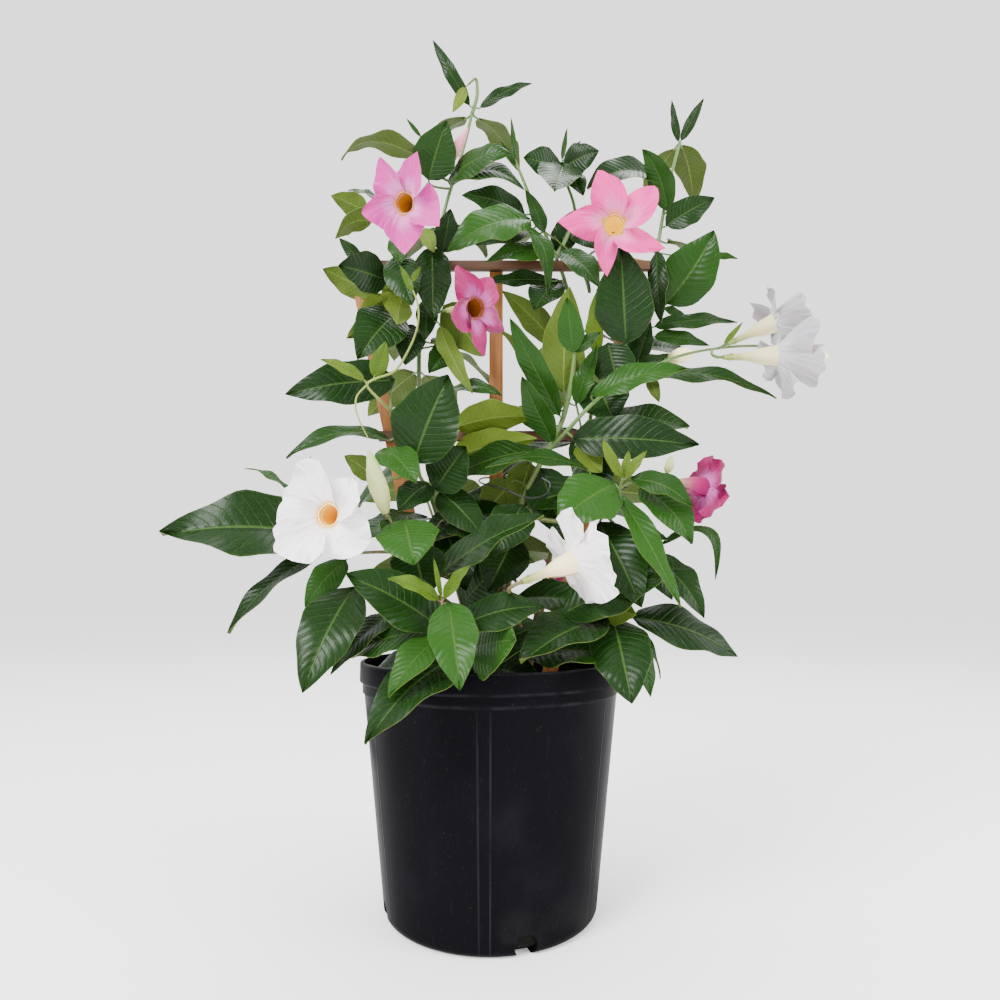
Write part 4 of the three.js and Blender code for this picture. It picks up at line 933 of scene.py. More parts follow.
def leafPiece(name, leaf, chance, finishes=(leafTop, leafUnder)):
    u, v, w = leafPlaces
    u = u * 2
    across = np.abs(u)
    shape = leafShape
    start, end, middle = (np.array(leaf[k]) for k in ("start", "end", "middle"))
    bow = 2 * middle - (start + end) / 2
    t = v[:, None]
    spine = start * (1 - t) ** 2 + bow * 2 * t * (1 - t) + end * t * t
    ahead = unit((bow - start) * 2 * (1 - t) + (end - bow) * 2 * t)
    normal = np.array(leaf["normal"])
    up = unit(normal - ahead * (ahead @ normal)[:, None])
    side = np.cross(ahead, up)
    twist = (math.radians(chance.normal(0, shape["twist"])) * (v - shape["twistFrom"]))[:, None]
    side, up = side * np.cos(twist) - up * np.sin(twist), up * np.cos(twist) + side * np.sin(twist)
    full = np.sin(np.pi * v ** shape["widestAt"]).clip(0.002) ** shape["roundness"]
    half = shape["halfWidth"] * leaf["width"] * full
    half = half * (1 + shape["nibble"] * np.sin(v * shape["nibbles"] + chance.uniform(0, 6)))
    phase = chance.uniform(0, 6.28, 2)
    wave = np.sin(v * chance.uniform(*shape["waves"]) + phase[0] + np.sign(u) * phase[1]) * across ** 1.5
    wave = wave * shape["wave"] * np.linalg.norm(end - start) * np.sin(np.pi * np.clip(v * 1.1, 0, 1))
    swell = 0.5 - np.abs(veinRow(across, v) % 1 - 0.5) * 2
    quilt = shape["quilt"] * swell * np.sin(np.pi * np.minimum(across * 1.2, 1))
    lift = shape["fold"] * across - shape["cup"] * u * u * chance.uniform(0, shape["cupSpread"])
    height = leaf["width"] * lift + wave + quilt + w * shape["thickness"]
    corners = spine + side * (u * half)[:, None] + up * height[:, None]
    shade = np.clip(leaf["tone"] + chance.normal(0, shape["toneSpread"]), 0, 1)
    return laid(leafSheet, name, corners, finishes, tone=shade)


# A leaf's stalk, in mm where its key doesn't say share; bow is a share of its length
leafStalk = {"thick": 0.75, "thickShare": 0.012, "footShare": 1.1, "topShare": 0.8, "tip": 0.3,
             "bow": 0.35, "into": 2.5, "steps": 6}


def stemLines(name, paths, leaves):
    shoot, stalk = shoots[name], leafStalk
    lines = []
    for i, path in enumerate(paths):
        first = shoot["radius"] * (stemSizes["sideShare"] if i else 1)
        fine = smoothed(path)
        if shoot.get("from") and i == 0:
            fine = fine[1:]
        lines.append((fine, first * (1 - (1 - stemSizes["tipShare"]) * np.linspace(0, 1, len(fine)))))
    for leaf in leaves:
        root, start, steps = leaf["root"], leaf["start"], stalk["steps"]
        onward = (leaf["middle"] * 2 - (leaf["start"] + leaf["end"]) / 2 - start).normalized()
        bow = start - onward * (start - root).length * stalk["bow"]
        row = [root.lerp(bow, k / steps).lerp(bow.lerp(start, k / steps), k / steps)
               for k in range(steps + 1)]
        thick = stalk["thick"] + leaf["width"] * stalk["thickShare"]
        radii = np.linspace(thick * stalk["footShare"], thick * stalk["topShare"], len(row))
        lines.append((row + [start + onward * stalk["into"]], [*radii, stalk["tip"]]))
    return lines


# Throat, seam, sink, sepals, anthers and thicknesses are in mm. The rest are shares of the petal or bloom,
# and how often the ripples and frills come. Round blooms have broad petals with a frilled edge.
bloomShape = {
    "notch": 0.56, "overlap": 0.1, "swirl": 0.3, "lift": 0.14, "thickness": 0.7, "ruffle": 0.011,
    "crease": 0.018, "point": 0.05, "frill": 0, "roundness": 1.5, "step": [0.07, 0.02, -0.03, -0.075],
    "throat": 8.2, "seam": 0.7, "sink": 3.5, "stepAt": [0, 0.34, 0.68, 1], "pointWidth": 6,
    "ripples": (11, 21), "swell": 5, "frills": 25, "ruffleOut": 0.35,
    "sepals": {"radius": 2.2, "spread": 2.2, "halfAngle": 0.42, "thickness": 0.4, "length": 9},
    "anthers": {"foot": 2.4, "tip": 0.5, "length": 10, "below": 22},
}
roundShape = {
    **bloomShape, "notch": 0.8, "overlap": 0.16, "ruffle": 0.024, "crease": 0.006, "point": 0,
    "frill": 0.013, "roundness": 3.2, "step": [0.05, 0.015, -0.02, -0.05],
}
roundBlooms = ("bloom_rose_right",)
# the pink bloom on the right takes the candy look, and the two white blooms on the right the white look
# darkened as painted shade
bloomLooks = {"bloom_pink_right": "candy", "bloom_white_upper": "cool", "bloom_white_lower": "cool"}

# Each petal: its tip's place across it, how far out that is, how round it is, how far it falls back, and how
# far out the cut beside it lies
petalForms = {
    "bloom_pink_left": [(0.22, 1.02, 0.9, 0.02, 0.6), (0.25, 0.92, 0.9, 0, 0.62), (0.42, 1.08, 1.0, 0, 0.6),
                        (0.2, 1.1, 0.95, 0.03, 0.62), (0.5, 1.04, 0.8, 0, 0.58)],
    "bloom_pink_right": [(0.56, 1.03, 1.1, 0, 0.5), (0.5, 1.08, 0.85, 0, 0.42), (0.72, 0.94, 0.85, 0, 0.3),
                         (0.72, 1.12, 0.75, 0, 0.32), (0.62, 1.0, 1.5, 0, 0.45)],
    "bloom_rose_middle": [(0.5, 0.76, 1.4, 0.1, 0.6), (0.45, 1.14, 0.8, 0.02, 0.36),
                          (0.4, 0.96, 2.0, -0.12, 0.62), (0.62, 1.2, 0.8, 0.06, 0.36),
                          (0.35, 1.12, 1.3, 0.26, 0.5)],
    "bloom_rose_right": [(0.5, 1.0, 2.8, 0.1, 0.8), (0.4, 0.95, 2.6, 0.0, 0.82), (0.6, 0.96, 2.6, 0.04, 0.82),
                         (0.5, 1.0, 2.6, 0.2, 0.78), (0.5, 1.0, 2.6, 0.14, 0.8)],
    "bloom_white_left": [(0.5, 1.02, 2.2, -0.1, 0.72), (0.35, 1.06, 2.2, 0.1, 0.78),
                         (0.5, 0.96, 2.6, -0.12, 0.8), (0.62, 1.1, 1.6, 0.12, 0.72),
                         (0.5, 0.94, 1.8, 0.02, 0.68)],
    "bloom_white_upper": [(0.5, 0.95, 2.6, 0.1, 0.8), (0.5, 1.0, 2.4, 0.2, 0.8), (0.5, 1.04, 2.6, 0.0, 0.8),
                          (0.5, 0.95, 2.6, -0.28, 0.8), (0.5, 1.0, 2.4, -0.15, 0.8)],
    "bloom_white_lower": [(0.5, 0.95, 2.4, 0.15, 0.8), (0.5, 1.0, 2.4, 0.05, 0.8),
                          (0.5, 1.02, 2.6, -0.22, 0.8), (0.5, 0.96, 2.6, -0.28, 0.8),
                          (0.5, 1.04, 2.4, -0.05, 0.8)],
}
# The trumpet from its foot upwards: share of the way, and radius there
funnelShape = [(0, 1.9), (0.08, 2.4), (0.2, 2.9), (0.32, 3.1), (0.42, 3.5), (0.52, 4.7), (0.64, 6.7),
               (0.78, 8.3), (0.9, 9.0), (1.0, 9.7)]
# A furled bud: its profile is the share of the way from its foot, and the share of its width there
budShape = {"profile": [(0, 0.3), (0.06, 0.55), (0.2, 0.86), (0.35, 0.98), (0.5, 1), (0.7, 0.8),
                        (0.85, 0.5), (0.95, 0.24), (1, 0.04)],
            "folds": 2.5, "twist": 5, "least": 0.93, "fold": 0.13, "wall": 0.3}


def petalForm(chance, shape):
    return (chance.uniform(0.4, 0.55), chance.uniform(0.94, 1.03), shape["roundness"],
            chance.uniform(-0.04, 0.08), shape["notch"])


def petalRows(k, form, shape, diameter, turn, cup, chance):
    tip, far, roundness, fall, notch = form
    u, v, w = petalPlaces
    u = u * -2
    reach = diameter / 2 - trumpetSizes["mouth"] + shape["seam"]
    share = 0.5 + u * (0.5 + shape["overlap"] * (0.4 + 0.6 * v))
    off = np.abs(share - tip) / np.where(share < tip, tip, 1 - tip)
    point = shape["point"] * (np.exp(-(off * shape["pointWidth"]) ** 2) - 0.5)
    outline = far * (1 - (1 - notch) * np.minimum(off, 1.3) ** roundness + point)
    angle = math.radians(turn) + math.tau * (k + share) / 5 + shape["swirl"] * v
    radius = shape["throat"] + v * (reach * outline + shape["seam"])
    step = np.interp(share, shape["stepAt"], shape["step"])
    lift = shape["lift"] * reach * np.sin(np.pi * v ** 0.8)
    height = -shape["sink"] * (1 - v) ** 3 + v * step * diameter + lift
    height = height + (cup * reach - fall * diameter) * v ** 2
    phase = chance.uniform(0, 6.28, 3)
    broad, fine = shape["ripples"]
    ruffle = np.sin(share * broad + phase[0]) + 0.5 * np.sin(share * fine + phase[1]) * v
    amount = shape["ruffle"] * diameter
    height = height + ruffle * amount * v ** 2 + np.sin(share * shape["swell"] + phase[2]) * amount * v
    height = height + shape["frill"] * diameter * np.sin(share * shape["frills"] + phase[1]) * v ** 4
    crease = shape["crease"] * diameter * (1 - abs(u)) * np.sin(np.pi * v)
    radius = radius + ruffle * shape["ruffleOut"] * amount * v ** 3
    return ringed(radius, angle, height + w * shape["thickness"] - crease)


def tubeRows():
    u, v, w = tubePlaces
    size = trumpetSizes
    angle = (0.5 - u) * math.tau
    radius = np.interp(v, *zip(*funnelShape)) * (1 + size["ribs"] * np.cos(angle * 5)) - w * size["wall"]
    return ringed(radius, angle, (v - 1) * size["length"] - size["under"])


def sepalRows(k):
    u, v, w = petalPlaces
    sepal = bloomShape["sepals"]
    angle = math.tau * (k + 0.3) / 5 + u * 2 * sepal["halfAngle"] * (1 - v ** 2)
    radius = sepal["radius"] + sepal["spread"] * v ** 2 + w * sepal["thickness"]
    return ringed(radius, angle, sepal["length"] * v - trumpetSizes["length"] - 1)


def bloomPiece(name, mouth, facing, diameter, look, turn, cup):
    # made upright at the origin with its mouth at height 0, and then turned and moved to its place
    chance = np.random.default_rng(sum(map(ord, name)))
    place = seen(mouth)
    direction = seenDirection(place, facing)
    spin = np.array(Vector((0, 0, 1)).rotation_difference(direction).to_matrix())

    def settled(rows):
        return rows @ spin.T + np.array(place)

    shape = roundShape if look == "white" or name in roundBlooms else bloomShape
    shades = petalFinishes[bloomLooks.get(name, look)]
    forms = petalForms.get(name) or [petalForm(chance, shape) for _ in range(5)]
    parts = []
    for k, form in enumerate(forms):
        rows = settled(petalRows(k, form, shape, diameter, turn, cup, chance))
        parts.append(laid(petalSheet, name, rows, shades[:2], along=1, tone=chance.uniform(0, 1)))
    parts.append(merged(laid(tubeSheet, name, settled(tubeRows()), shades[2:], along=tubePlaces[1])))
    for k in range(5):
        parts.append(laid(petalSheet, name, settled(sepalRows(k)), (calyxFinish,) * 2, along=0, tone=0.4))
    anthers = shape["anthers"]
    cone = added(name, bpy.ops.mesh.primitive_cone_add, vertices=20, radius1=anthers["foot"],
                 radius2=anthers["tip"], depth=anthers["length"], location=(0, 0, 0))
    for layer in ("along", "tone"):
        cone.data.attributes.new(layer, "FLOAT", "POINT")
    setCorners(cone, settled(cornersOf(cone) - (0, 0, anthers["below"])) * mm)
    cone.data.materials.append(shades[2])
    foot = place - direction * (trumpetSizes["length"] + 0.3)
    return joined(parts + [cone], name + "Look"), foot, direction


def budPiece(name, base, tip, width, look):
    start, end = seen(base), seen(tip)
    direction = (end - start).normalized()
    side = Vector((0, -1, 0)).cross(direction).normalized()
    u, v, w = tubePlaces
    shape = budShape
    angle = (0.5 - u) * math.tau
    fold = 1 - np.abs(np.sin(shape["folds"] * angle + v * shape["twist"]))
    half = width / 2 * np.interp(v, *zip(*shape["profile"]))
    radius = half * (shape["least"] + shape["fold"] * fold ** 2) - w * shape["wall"]
    axes = np.array([side, direction.cross(side), end - start])
    rows = np.array(start) + ringed(radius, angle, v) @ axes
    outside = petalFinishes[look][3]
    along = np.clip(v * 1.6 + 0.1, 0, 1)
    return merged(laid(tubeSheet, name + "Look", rows, (outside,) * 2, along=along)), start, direction


def stalkLine(paths, end, direction):
    start, end = nearestOn(paths, end), end - direction * stemSizes["stalkGap"]
    before = end - direction * stemSizes["stalkReach"] * (start - end).length
    between = start.lerp(before, 0.5)
    fine = [start * (1 - t) ** 3 + between * 3 * t * (1 - t) ** 2 + before * 3 * t * t * (1 - t)
            + end * t ** 3 for t in np.linspace(0, 1, stemSizes["stalkPlaces"]).tolist()]
    return fine, np.linspace(*stemSizes["stalk"], len(fine))


potSizes = {"height": 229, "rimRadius": 127, "footRadius": 99, "wall": 2.3, "floor": 2.6, "sides": 128}
rimBand = {"depth": 18, "groove": 1.6, "lowerDepth": 28, "lowerRadius": 124, "bodyRadius": 122.3,
           "edge": 1.4, "easing": 0.5, "lip": 0.3, "shoulder": 1.2, "shoulderDrop": 0.7}
footEdge = {"radius": 9, "steps": 6}
drainHoles = {"angles": (-72, 18, 108, 198), "radius": 10, "height": 8, "middle": 98, "length": 28}


def bodyRadiusAt(z):
    rise = potSizes["height"] - rimBand["lowerDepth"] - rimBand["edge"]
    return potSizes["footRadius"] + (rimBand["bodyRadius"] - potSizes["footRadius"]) * z / rise


def lathed(name, profile, sides):
    # a disc at the profile's first place, drawn out and scaled to each place after it (mm: radius, height)
    radius, height = profile[0]
    piece = added(name, bpy.ops.mesh.primitive_circle_add, vertices=sides, radius=radius * mm,
                  fill_type="NGON", location=(0, 0, 0))
    with editing(piece):
        bpy.ops.transform.translate(value=(0, 0, height * mm))
        for nextRadius, nextHeight in profile[1:]:
            rise, share = (nextHeight - height) * mm, nextRadius / radius
            bpy.ops.mesh.extrude_region_move(TRANSFORM_OT_translate={"value": (0, 0, rise)})
            bpy.ops.transform.resize(value=(share, share, 1), center_override=(0, 0, nextHeight * mm))
            radius, height = nextRadius, nextHeight
    facedOut(piece)
    return piece


def potProfile():
    foot, wall, edge, ease = footEdge["radius"], potSizes["wall"], rimBand["edge"], rimBand["easing"]
    high, rim, groove = potSizes["height"], potSizes["rimRadius"], rimBand["groove"]
    lower, top = high - rimBand["lowerDepth"], high - rimBand["depth"]
    body, band = rimBand["bodyRadius"], rimBand["lowerRadius"]
    turns = [math.pi / 2 * k / footEdge["steps"] for k in range(footEdge["steps"] + 1)]
    rounded = [(bodyRadiusAt(foot) - foot * (1 - math.sin(a)), foot * (1 - math.cos(a))) for a in turns]
    side = [(bodyRadiusAt(z), z) for z in (40, 80, 120, 160)]
    lowerStep = [(body, lower - edge), (body + ease, lower - ease), (band, lower), (band, top - groove)]
    upperStep = [(band + rimBand["shoulder"], top - rimBand["shoulderDrop"]), (rim, top + rimBand["lip"])]
    lip = [(rim, high - edge), (rim - rimBand["lip"], high - ease), (rim - edge, high)]
    inside = [(rim - wall - edge, high), (band - wall, top - groove), (body - wall, lower - edge),
              (bodyRadiusAt(foot) - wall, foot), (bodyRadiusAt(0) - foot, potSizes["floor"])]
    return rounded + side + lowerStep + upperStep + lip + inside


# the edge colour is a painted highlight along the mould lines and the rim's edges
potLook = {"plastic": (0.0032, 0.0031, 0.0042), "worn": (0.0075, 0.0075, 0.01),
           "grime": (0.022, 0.019, 0.015), "edge": (0.019, 0.019, 0.022),
           "mouldLines": (-1.05, -0.08, 0.01, 1.0, 1.9, 2.6, -1.9, -2.6)}


def potFinish():
    finish = Finish("potPlastic", Roughness=0.42, IOR=1.06)
    place = finish.objectPlace()
    x, y, z = (finish.split(place, axis) for axis in "XYZ")
    angle = finish.node("Math", {"operation": "ARCTAN2"}, {0: x, 1: 0 - y})
    lines = 0                                     # shallow mould lines down the side, by their angle
    for line in potLook["mouldLines"]:
        lines = lines + (1 - abs(angle - line).within(0.002, 0.012))
    lines = lines * (1 - z.within(0.196, 0.2))
    edges = 0                                     # edges of the rim, which get a painted highlight
    for drop in (0.0, rimBand["depth"], rimBand["lowerDepth"]):
        edges = edges + (1 - abs(z - (potSizes["height"] - drop) * mm).within(0.0006, 0.0022))
    dust = finish.noise(place, 14, 5).within(0.5, 0.75)
    specks = finish.noise(place, 420, 2).within(0.66, 0.74)
    scratch = finish.noise(place, (300, 300, 12)).within(0.62, 0.7)
    patches = finish.noise(place, (40, 40, 7)).within(0.35, 0.65)
    colour = finish.mix(dust * 0.45 + scratch * 0.25, potLook["plastic"], potLook["worn"])
    soiled = (1 - z.within(0.0, 0.05)) * dust * 0.5 + specks * 0.35
    colour = finish.mix(soiled, colour, potLook["grime"])
    # lighter along the mould lines and the rim's edges, in patches: painted highlights
    colour = finish.mix((lines + edges) * (0.1 + patches * 0.5), colour, potLook["edge"])
    height = lines * 0.6 + finish.noise(place, (14, 14, 5), 2) * 3.0 + finish.noise(place, 900, 2) * 0.15
    return finish.feed(Base_Color=colour, Roughness=0.34 + dust * 0.2 + specks * 0.2,
                       Normal=finish.bump(height, 0.0008, 0.7))


def potPiece():
    pot = lathed("pot", potProfile(), potSizes["sides"])
    out = drainHoles["middle"] * mm
    for angle in drainHoles["angles"]:
        a = math.radians(angle - 90)
        place = (out * math.cos(a), out * math.sin(a), drainHoles["height"] * mm)
        cutter = added("cutter", bpy.ops.mesh.primitive_cylinder_add, vertices=24,
                       radius=drainHoles["radius"] * mm, depth=drainHoles["length"] * mm,
                       location=place, rotation=(0, math.pi / 2, a))
        modified(pot, "BOOLEAN", operation="DIFFERENCE", object=cutter, solver="EXACT")
        bpy.data.objects.remove(cutter)
    pot.data.materials.append(potFinish())
    smoothShaded(pot, 25)
    return pot


# Lengths are in mm, but the heights between which the soil turns from painted shade to its own colour in
# metres. Lumps and grit are how fine the unevenness of its top is.
soilLook = {
    "gap": 0.35, "bevel": 6, "rings": 46, "sides": 128, "bumps": 2.0, "lumps": 60, "grit": 330,
    "crumbs": 620, "crumbSize": 1.1, "flatness": 0.7, "roughness": 0.18, "barkLength": 3.2,
    "crumbLength": 1.4, "barkEvery": 5, "dark": (0.0075, 0.005, 0.0037), "light": (0.031, 0.02, 0.012),
    "fleck": (0.069, 0.047, 0.028), "shadeBelow": (0.0012, 0.0009, 0.0007), "shadeBelowHeights": (0.02, 0.06),
    "crumb": ((0.0087, 0.0056, 0.0037), (0.034, 0.022, 0.012)),
    "bark": ((0.037, 0.019, 0.0094), (0.106, 0.062, 0.034)),
    "dryLeaf": (0.344, 0.163, 0.025), "dryPatch": (0.137, 0.05, 0.012), "dryVein": (0.387, 0.25, 0.075),
    # fallen leaves: where each is seen, and how long it is
    "fallen": [((565, 665, 62), 20), ((556, 661, 50), 17), ((478, 664, 40), 16), ((602, 668, 34), 14)],
}


def soilFinish():
    finish = Finish("soilEarth", Specular_IOR_Level=0.12)
    place = finish.objectPlace()
    coarse, fine = finish.noise(place, 120, 5), finish.noise(place, 600, 4)
    colour = finish.mix(coarse.within(0.35, 0.7), soilLook["dark"], soilLook["light"])
    colour = finish.mix(fine.within(0.6, 0.7) * 0.5, colour, soilLook["fleck"])
    # near black in its lowest few centimetres: painted shade on the soil seen through the drain holes
    shadeBelow = 1 - finish.split(place, "Z").within(*soilLook["shadeBelowHeights"])
    colour = finish.mix(shadeBelow * 0.96, colour, soilLook["shadeBelow"])
    return finish.feed(Base_Color=colour, Roughness=0.8 + fine * 0.2,
                       Normal=finish.bump(coarse + fine * 0.5, 0.0015))


def crumbFinish(name):
    finish = Finish(name, Specular_IOR_Level=0.3)
    place = finish.objectPlace()
    colour = finish.mix(finish.noise(place, 260, 4).within(0.35, 0.65), *soilLook[name])
    return finish.feed(Base_Color=colour, Roughness=0.75 + finish.noise(place, 90, 2) * 0.2,
                       Normal=finish.bump(finish.noise(place, 800), 0.0006))


def deadLeafFinish():
    finish = Finish("dryLeaf", Specular_IOR_Level=0.4)
    _, rib, vein, swing = leafVeins(finish)
    place = finish.objectPlace()
    patches = finish.noise(place, 120, 4).within(0.35, 0.7)
    colour = finish.mix(patches, soilLook["dryLeaf"], soilLook["dryPatch"])
    colour = finish.mix(rib * 0.6 + vein * 0.2, colour, soilLook["dryVein"])
    return finish.feed(Base_Color=colour, Roughness=0.6 + finish.noise(place, 200, 2) * 0.2,
                       Normal=finish.bump(swing, 0.0008))


def soilRadiusAt(z):
    return bodyRadiusAt(z) - potSizes["wall"] - soilLook["gap"]


def soilHeightAt(out):                           # heaped in the middle, lowest at the pot's wall
    top, crown = soilSizes["top"], soilSizes["crown"]
    heights = [top + crown, top + 0.8 * crown, top - 1, top - soilSizes["dip"]]
    return np.interp(out / rimBand["bodyRadius"], [0.12, 0.4, 0.78, 0.97], heights)


def crumbPieces(chance, reach):
    crumb = added("crumbModel", bpy.ops.mesh.primitive_ico_sphere_add, subdivisions=1, radius=1)
    ball = cornersOf(crumb)
    finishes = [crumbFinish("crumb"), crumbFinish("bark")]
    parts, look = [], soilLook
    for i in range(look["crumbs"]):
        bark = i % look["barkEvery"] == 0
        angle, out = chance.uniform(0, math.tau), reach * math.sqrt(chance.uniform(0, 1))
        size = np.exp(chance.normal(0.25, 0.45)) * look["crumbSize"]
        long = chance.uniform(1, look["barkLength" if bark else "crumbLength"])
        rough = ball * (1 + chance.normal(0, look["roughness"], len(ball)))[:, None]
        rough = rough * (size * long, size, size * look["flatness"])
        turn = Quaternion((0, 0, 1), chance.uniform(0, 6.28)).to_matrix()
        tilt = Quaternion((1, 0, 0), chance.uniform(-0.5, 0.5)).to_matrix()
        place = (out * math.cos(angle), out * math.sin(angle), soilHeightAt(out) + 0.4 * size)
        parts.append(copied(crumb, "crumb", rough @ np.array(turn @ tilt).T + place))
        parts[-1].data.materials.append(finishes[bark])
    bpy.data.objects.remove(crumb)
    return parts


def dryLeafPieces(chance):
    finishes = (deadLeafFinish(),) * 2
    parts = []
    for place, length in soilLook["fallen"]:
        start = seen(place)
        start.z = soilSizes["top"] + 4
        swing = chance.uniform(0, 6.28)
        end = start + Vector((math.cos(swing), math.sin(swing), 0.1)) * length
        normal = Vector((chance.normal(0, 0.2), chance.normal(0, 0.2), 1)).normalized()
        leaf = {"start": start, "end": end, "middle": (start + end) / 2 + normal * 2, "normal": normal,
                "width": length * 0.45, "tone": 0.5}
        parts.append(leafPiece("dryLeaf", leaf, chance, finishes))
    return parts


def soilPiece():
    foot, gap, edge = footEdge["radius"], soilLook["gap"], soilSizes["top"] - soilSizes["dip"]
    reach = soilRadiusAt(edge)
    rows = [(bodyRadiusAt(0) - foot - gap, potSizes["floor"] + gap), (soilRadiusAt(foot), foot + gap)]
    rows += [(soilRadiusAt(z), z) for z in (edge - soilLook["bevel"], edge)]
    radii = np.linspace(reach, 2, soilLook["rings"])[1:]
    soil = lathed("soil", rows + list(zip(radii, soilHeightAt(radii))), soilLook["sides"])
    corners = cornersOf(soil)
    lumps, grit = soilLook["lumps"], soilLook["grit"]
    bump = np.array([noise.fractal(Vector(c) * lumps, 0.6, 2.1, 5) + 0.5 * noise.noise(Vector(c) * grit)
                     for c in corners])
    out = np.hypot(corners[:, 0], corners[:, 1])
    inside = (corners[:, 2] > (edge - 0.5) * mm) & (out < (reach - 1) * mm)
    corners[:, 2] += np.where(inside, bump * soilLook["bumps"] * mm, 0)
    setCorners(soil, corners)
    soil.data.materials.append(soilFinish())
    smoothShaded(soil, 80)
    chance = np.random.default_rng(seeds["soil"])
    return joined([soil] + crumbPieces(chance, reach - 4) + dryLeafPieces(chance), "soil")


stakeLook = {"width": 14, "depth": 8, "front": 10, "foot": 54, "top": 641, "spread": 150,
             "footSpread": 15, "middle": 5, "grain": (260, 260, 11), "pale": (0.231, 0.088, 0.016),
             "mid": (0.163, 0.055, 0.0094), "dark": (0.075, 0.024, 0.005), "knot": (0.088, 0.034, 0.012)}
# the bars' wood is far darker than the stakes': painted shade from the leaves around them
barLook = {"height": 10, "depth": 7, "levels": (631, 450), "overhang": 5, "gap": 0.35,
           "grain": (11, 260, 260), "pale": (0.075, 0.029, 0.0075), "mid": (0.047, 0.017, 0.0044),
           "dark": (0.021, 0.0081, 0.0025), "knot": (0.088, 0.034, 0.012)}
wireLook = {"dark": (0.005, 0.005, 0.0056), "light": (0.019, 0.019, 0.021), "radius": 0.9}


def cedarFinish(name, look):
    finish = Finish(name, Specular_IOR_Level=0.35)
    place = finish.objectPlace()
    grain = finish.noise(place, look["grain"], 4)
    broad = finish.noise(place, tuple(s * 0.25 for s in look["grain"]), 2)
    colour = finish.mix(grain.within(0.35, 0.65), look["mid"], look["pale"])
    colour = finish.mix(broad.within(0.45, 0.75) * 0.5, colour, look["dark"])
    knotPlace = finish.stretched(place, tuple(s * 0.12 for s in look["grain"]))
    knots = finish.node("TexVoronoi", {"feature": "F1"}, {"Vector": knotPlace, "Scale": 1.3}, "Distance")
    colour = finish.mix((1 - knots.within(0.05, 0.16)) * 0.7, colour, look["knot"])
    return finish.feed(Base_Color=colour, Roughness=0.55 + grain * 0.25,
                       Normal=finish.bump(grain, 0.0006, 0.8))


def wireFinish():
    finish = Finish("wire", Specular_IOR_Level=0.5)
    marks = finish.noise(finish.objectPlace(), 500)
    colour = finish.mix(marks.within(0.4, 0.7), wireLook["dark"], wireLook["light"])
    return finish.feed(Base_Color=colour, Roughness=0.32 + marks * 0.15, Normal=finish.bump(marks, 0.0002))


def strip(name, width, depth, height, place, lean, finish):
    # a sawn strip: a long box with softened edges, leaning about its middle
    piece = added(name, bpy.ops.mesh.primitive_cube_add, size=1)
    with editing(piece):
        bpy.ops.transform.resize(value=(width * mm, depth * mm, height * mm))
    modified(piece, "BEVEL", width=0.7 * mm, segments=2, limit_method="NONE")
    with editing(piece):
        bpy.ops.transform.rotate(value=-lean, orient_axis="Y", center_override=(0, 0, 0))
        bpy.ops.transform.translate(value=tuple(p * mm for p in place))
    piece.data.materials.append(finish)
    smoothShaded(piece, 30)
    return piece


def trellis():
    size, bar, made = stakeLook, barLook, {}
    rise, spread = size["top"] - size["foot"], size["spread"] - size["footSpread"]
    finish = cedarFinish("cedarStake", size)
    for name, side in (("stake_left", -1), ("stake_middle", 0), ("stake_right", 1)):
        run = side * spread
        across = size["middle"] + side * (size["spread"] + size["footSpread"]) / 2
        place = (across, -size["front"], (size["top"] + size["foot"]) / 2)
        made[name] = strip(name, size["width"], size["depth"], math.hypot(rise, run), place,
                           math.atan2(run, rise), finish)
    # the bars' darker wood is painted shade
    finish = cedarFinish("cedarBarInShade", bar)
    front = size["front"] + size["depth"] / 2 + bar["gap"] + bar["depth"] / 2
    for name, height in zip(("bar_1", "bar_2"), bar["levels"]):
        share = (height - size["foot"]) / rise
        reach = size["footSpread"] + share * spread + size["width"] / 2 + bar["overhang"]
        place = (size["middle"], -front, height)
        made[name] = strip(name, 2 * reach, bar["depth"], bar["height"], place, 0, finish)
    return made


kept, paths = keptLeaves()
print("leaves placed:", sum(map(len, kept.values())))

stalks = {name: [] for name in shoots}
for name, (shoot, mouth, facing, diameter, look, turn, cup) in blooms.items():
    bloom, foot, direction = bloomPiece(name, mouth, facing, diameter, look, turn, cup)
    stalks[shoot].append(stalkLine(paths[shoot], foot, direction))
    smoothShaded(bloom, 60)
    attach(bloom, "root")
    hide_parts(name)
for name, (shoot, base, tip, width, look) in buds.items():
    piece, foot, direction = budPiece(name, base, tip, width, look)
    stalks[shoot].append(stalkLine(paths[shoot], foot, direction))
    smoothShaded(piece, 60)
    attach(piece, "root")
    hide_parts(name)
print("blooms made")

for number, (name, leaves) in enumerate(kept.items()):
    chance = np.random.default_rng(seeds["shoots"] + number)
    finish = stemYoung if name == "young_vine" else stemGreen
    cord = cordOf(name, stemLines(name, paths[name], leaves) + stalks[name], finish)
    cord.data.attributes.new("tone", "FLOAT", "POINT")
    piece = joined([cord] + [leafPiece(name, leaf, chance) for leaf in leaves], name + "Look")
    smoothShaded(piece)
    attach(piece, "root")
    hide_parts(name)
    "young_leaf" if name == "young_vine" else "leaf"
print("shoots made")

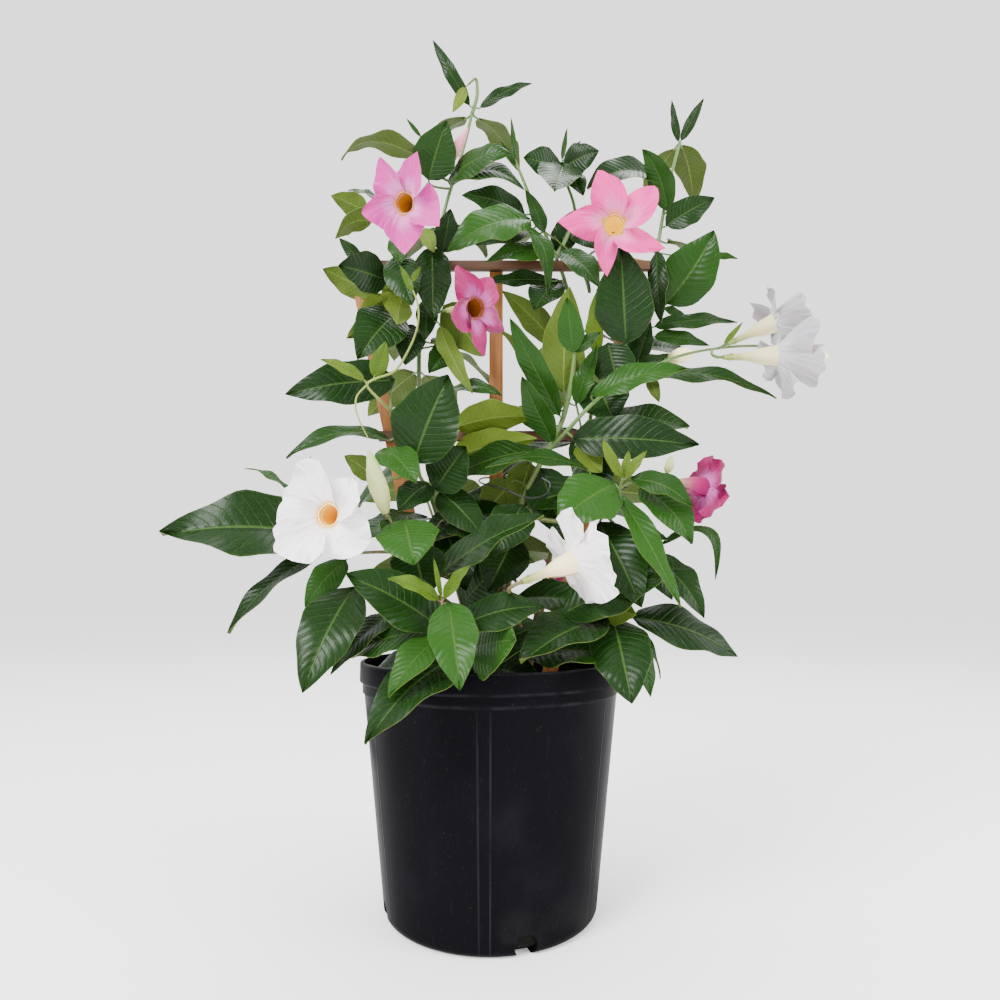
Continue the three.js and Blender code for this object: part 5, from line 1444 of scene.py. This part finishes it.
pieces = {"pot": potPiece(), "soil": soilPiece()}
for name, piece in trellis().items():
    pieces[name] = piece
tieLine = smoothed([seen(place) for place in tieWay])
pieces["tie_wire"] = cordOf("tie_wire", [(tieLine, [wireLook["radius"]] * len(tieLine))], wireFinish())
smoothShaded(pieces["tie_wire"], 60)
for name, piece in pieces.items():
    piece.name = name + "Look"
    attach(piece, "root")
    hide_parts(name)
for model in (leafSheet, petalSheet, tubeSheet):
    bpy.data.objects.remove(model)
print("pot, soil and trellis made")

studio = {"floor": 60, "world": 2.0, "paper": 0.88, "paperShades": ((0.87, 0.87, 0.87), (0.89, 0.89, 0.89)),
          "lights": [("keyLight", 1.1, 152, (-1.3, -1.7, 2.0), (48, 0, -37)),
                     ("sideLight", 1.2, 54, (1.9, -0.9, 1.1), (68, 0, 65)),
                     ("topLight", 1.4, 42, (0.2, 0.5, 2.5), (-8, 0, 0))]}


def stage():
    floor = added("floor", bpy.ops.mesh.primitive_plane_add, size=studio["floor"])
    # far away the paper is as bright as the sky above it
    paper = Finish("floorPaper", Roughness=0.9, Specular_IOR_Level=0.0, Emission_Color=(1, 1, 1, 1),
                   Emission_Strength=(1 - studio["paper"]) * studio["world"])
    shade = paper.noise(paper.objectPlace(), 1.5, 2)
    floor.data.materials.append(paper.feed(Base_Color=paper.mix(shade, *studio["paperShades"])))
    for name, size, power, place, turn in studio["lights"]:
        light = bpy.data.lights.new(name, "AREA")
        light.size, light.energy = size, power
        lamp = bpy.data.objects.new(name, light)
        lamp.location = place
        lamp.rotation_euler = [math.radians(a) for a in turn]
        scene.collection.objects.link(lamp)
    world = scene.world or bpy.data.worlds.new("studio")
    scene.world = world
    world.use_nodes = True
    sky = world.node_tree.nodes["Background"].inputs
    sky["Color"].default_value = (1, 1, 1, 1)
    sky["Strength"].default_value = studio["world"]
    camera = bpy.data.objects.new("camera", bpy.data.cameras.new("camera"))
    camera.data.sensor_width = viewer["sensor"]
    camera.data.lens = viewer["focal"] / (2 * viewer["pictureMiddle"]) * viewer["sensor"]
    camera.location = eye * mm
    camera.rotation_euler = (math.radians(90) + lookUp, 0, 0)
    scene.collection.objects.link(camera)
    scene.camera = camera


stage()
print("studio set up")
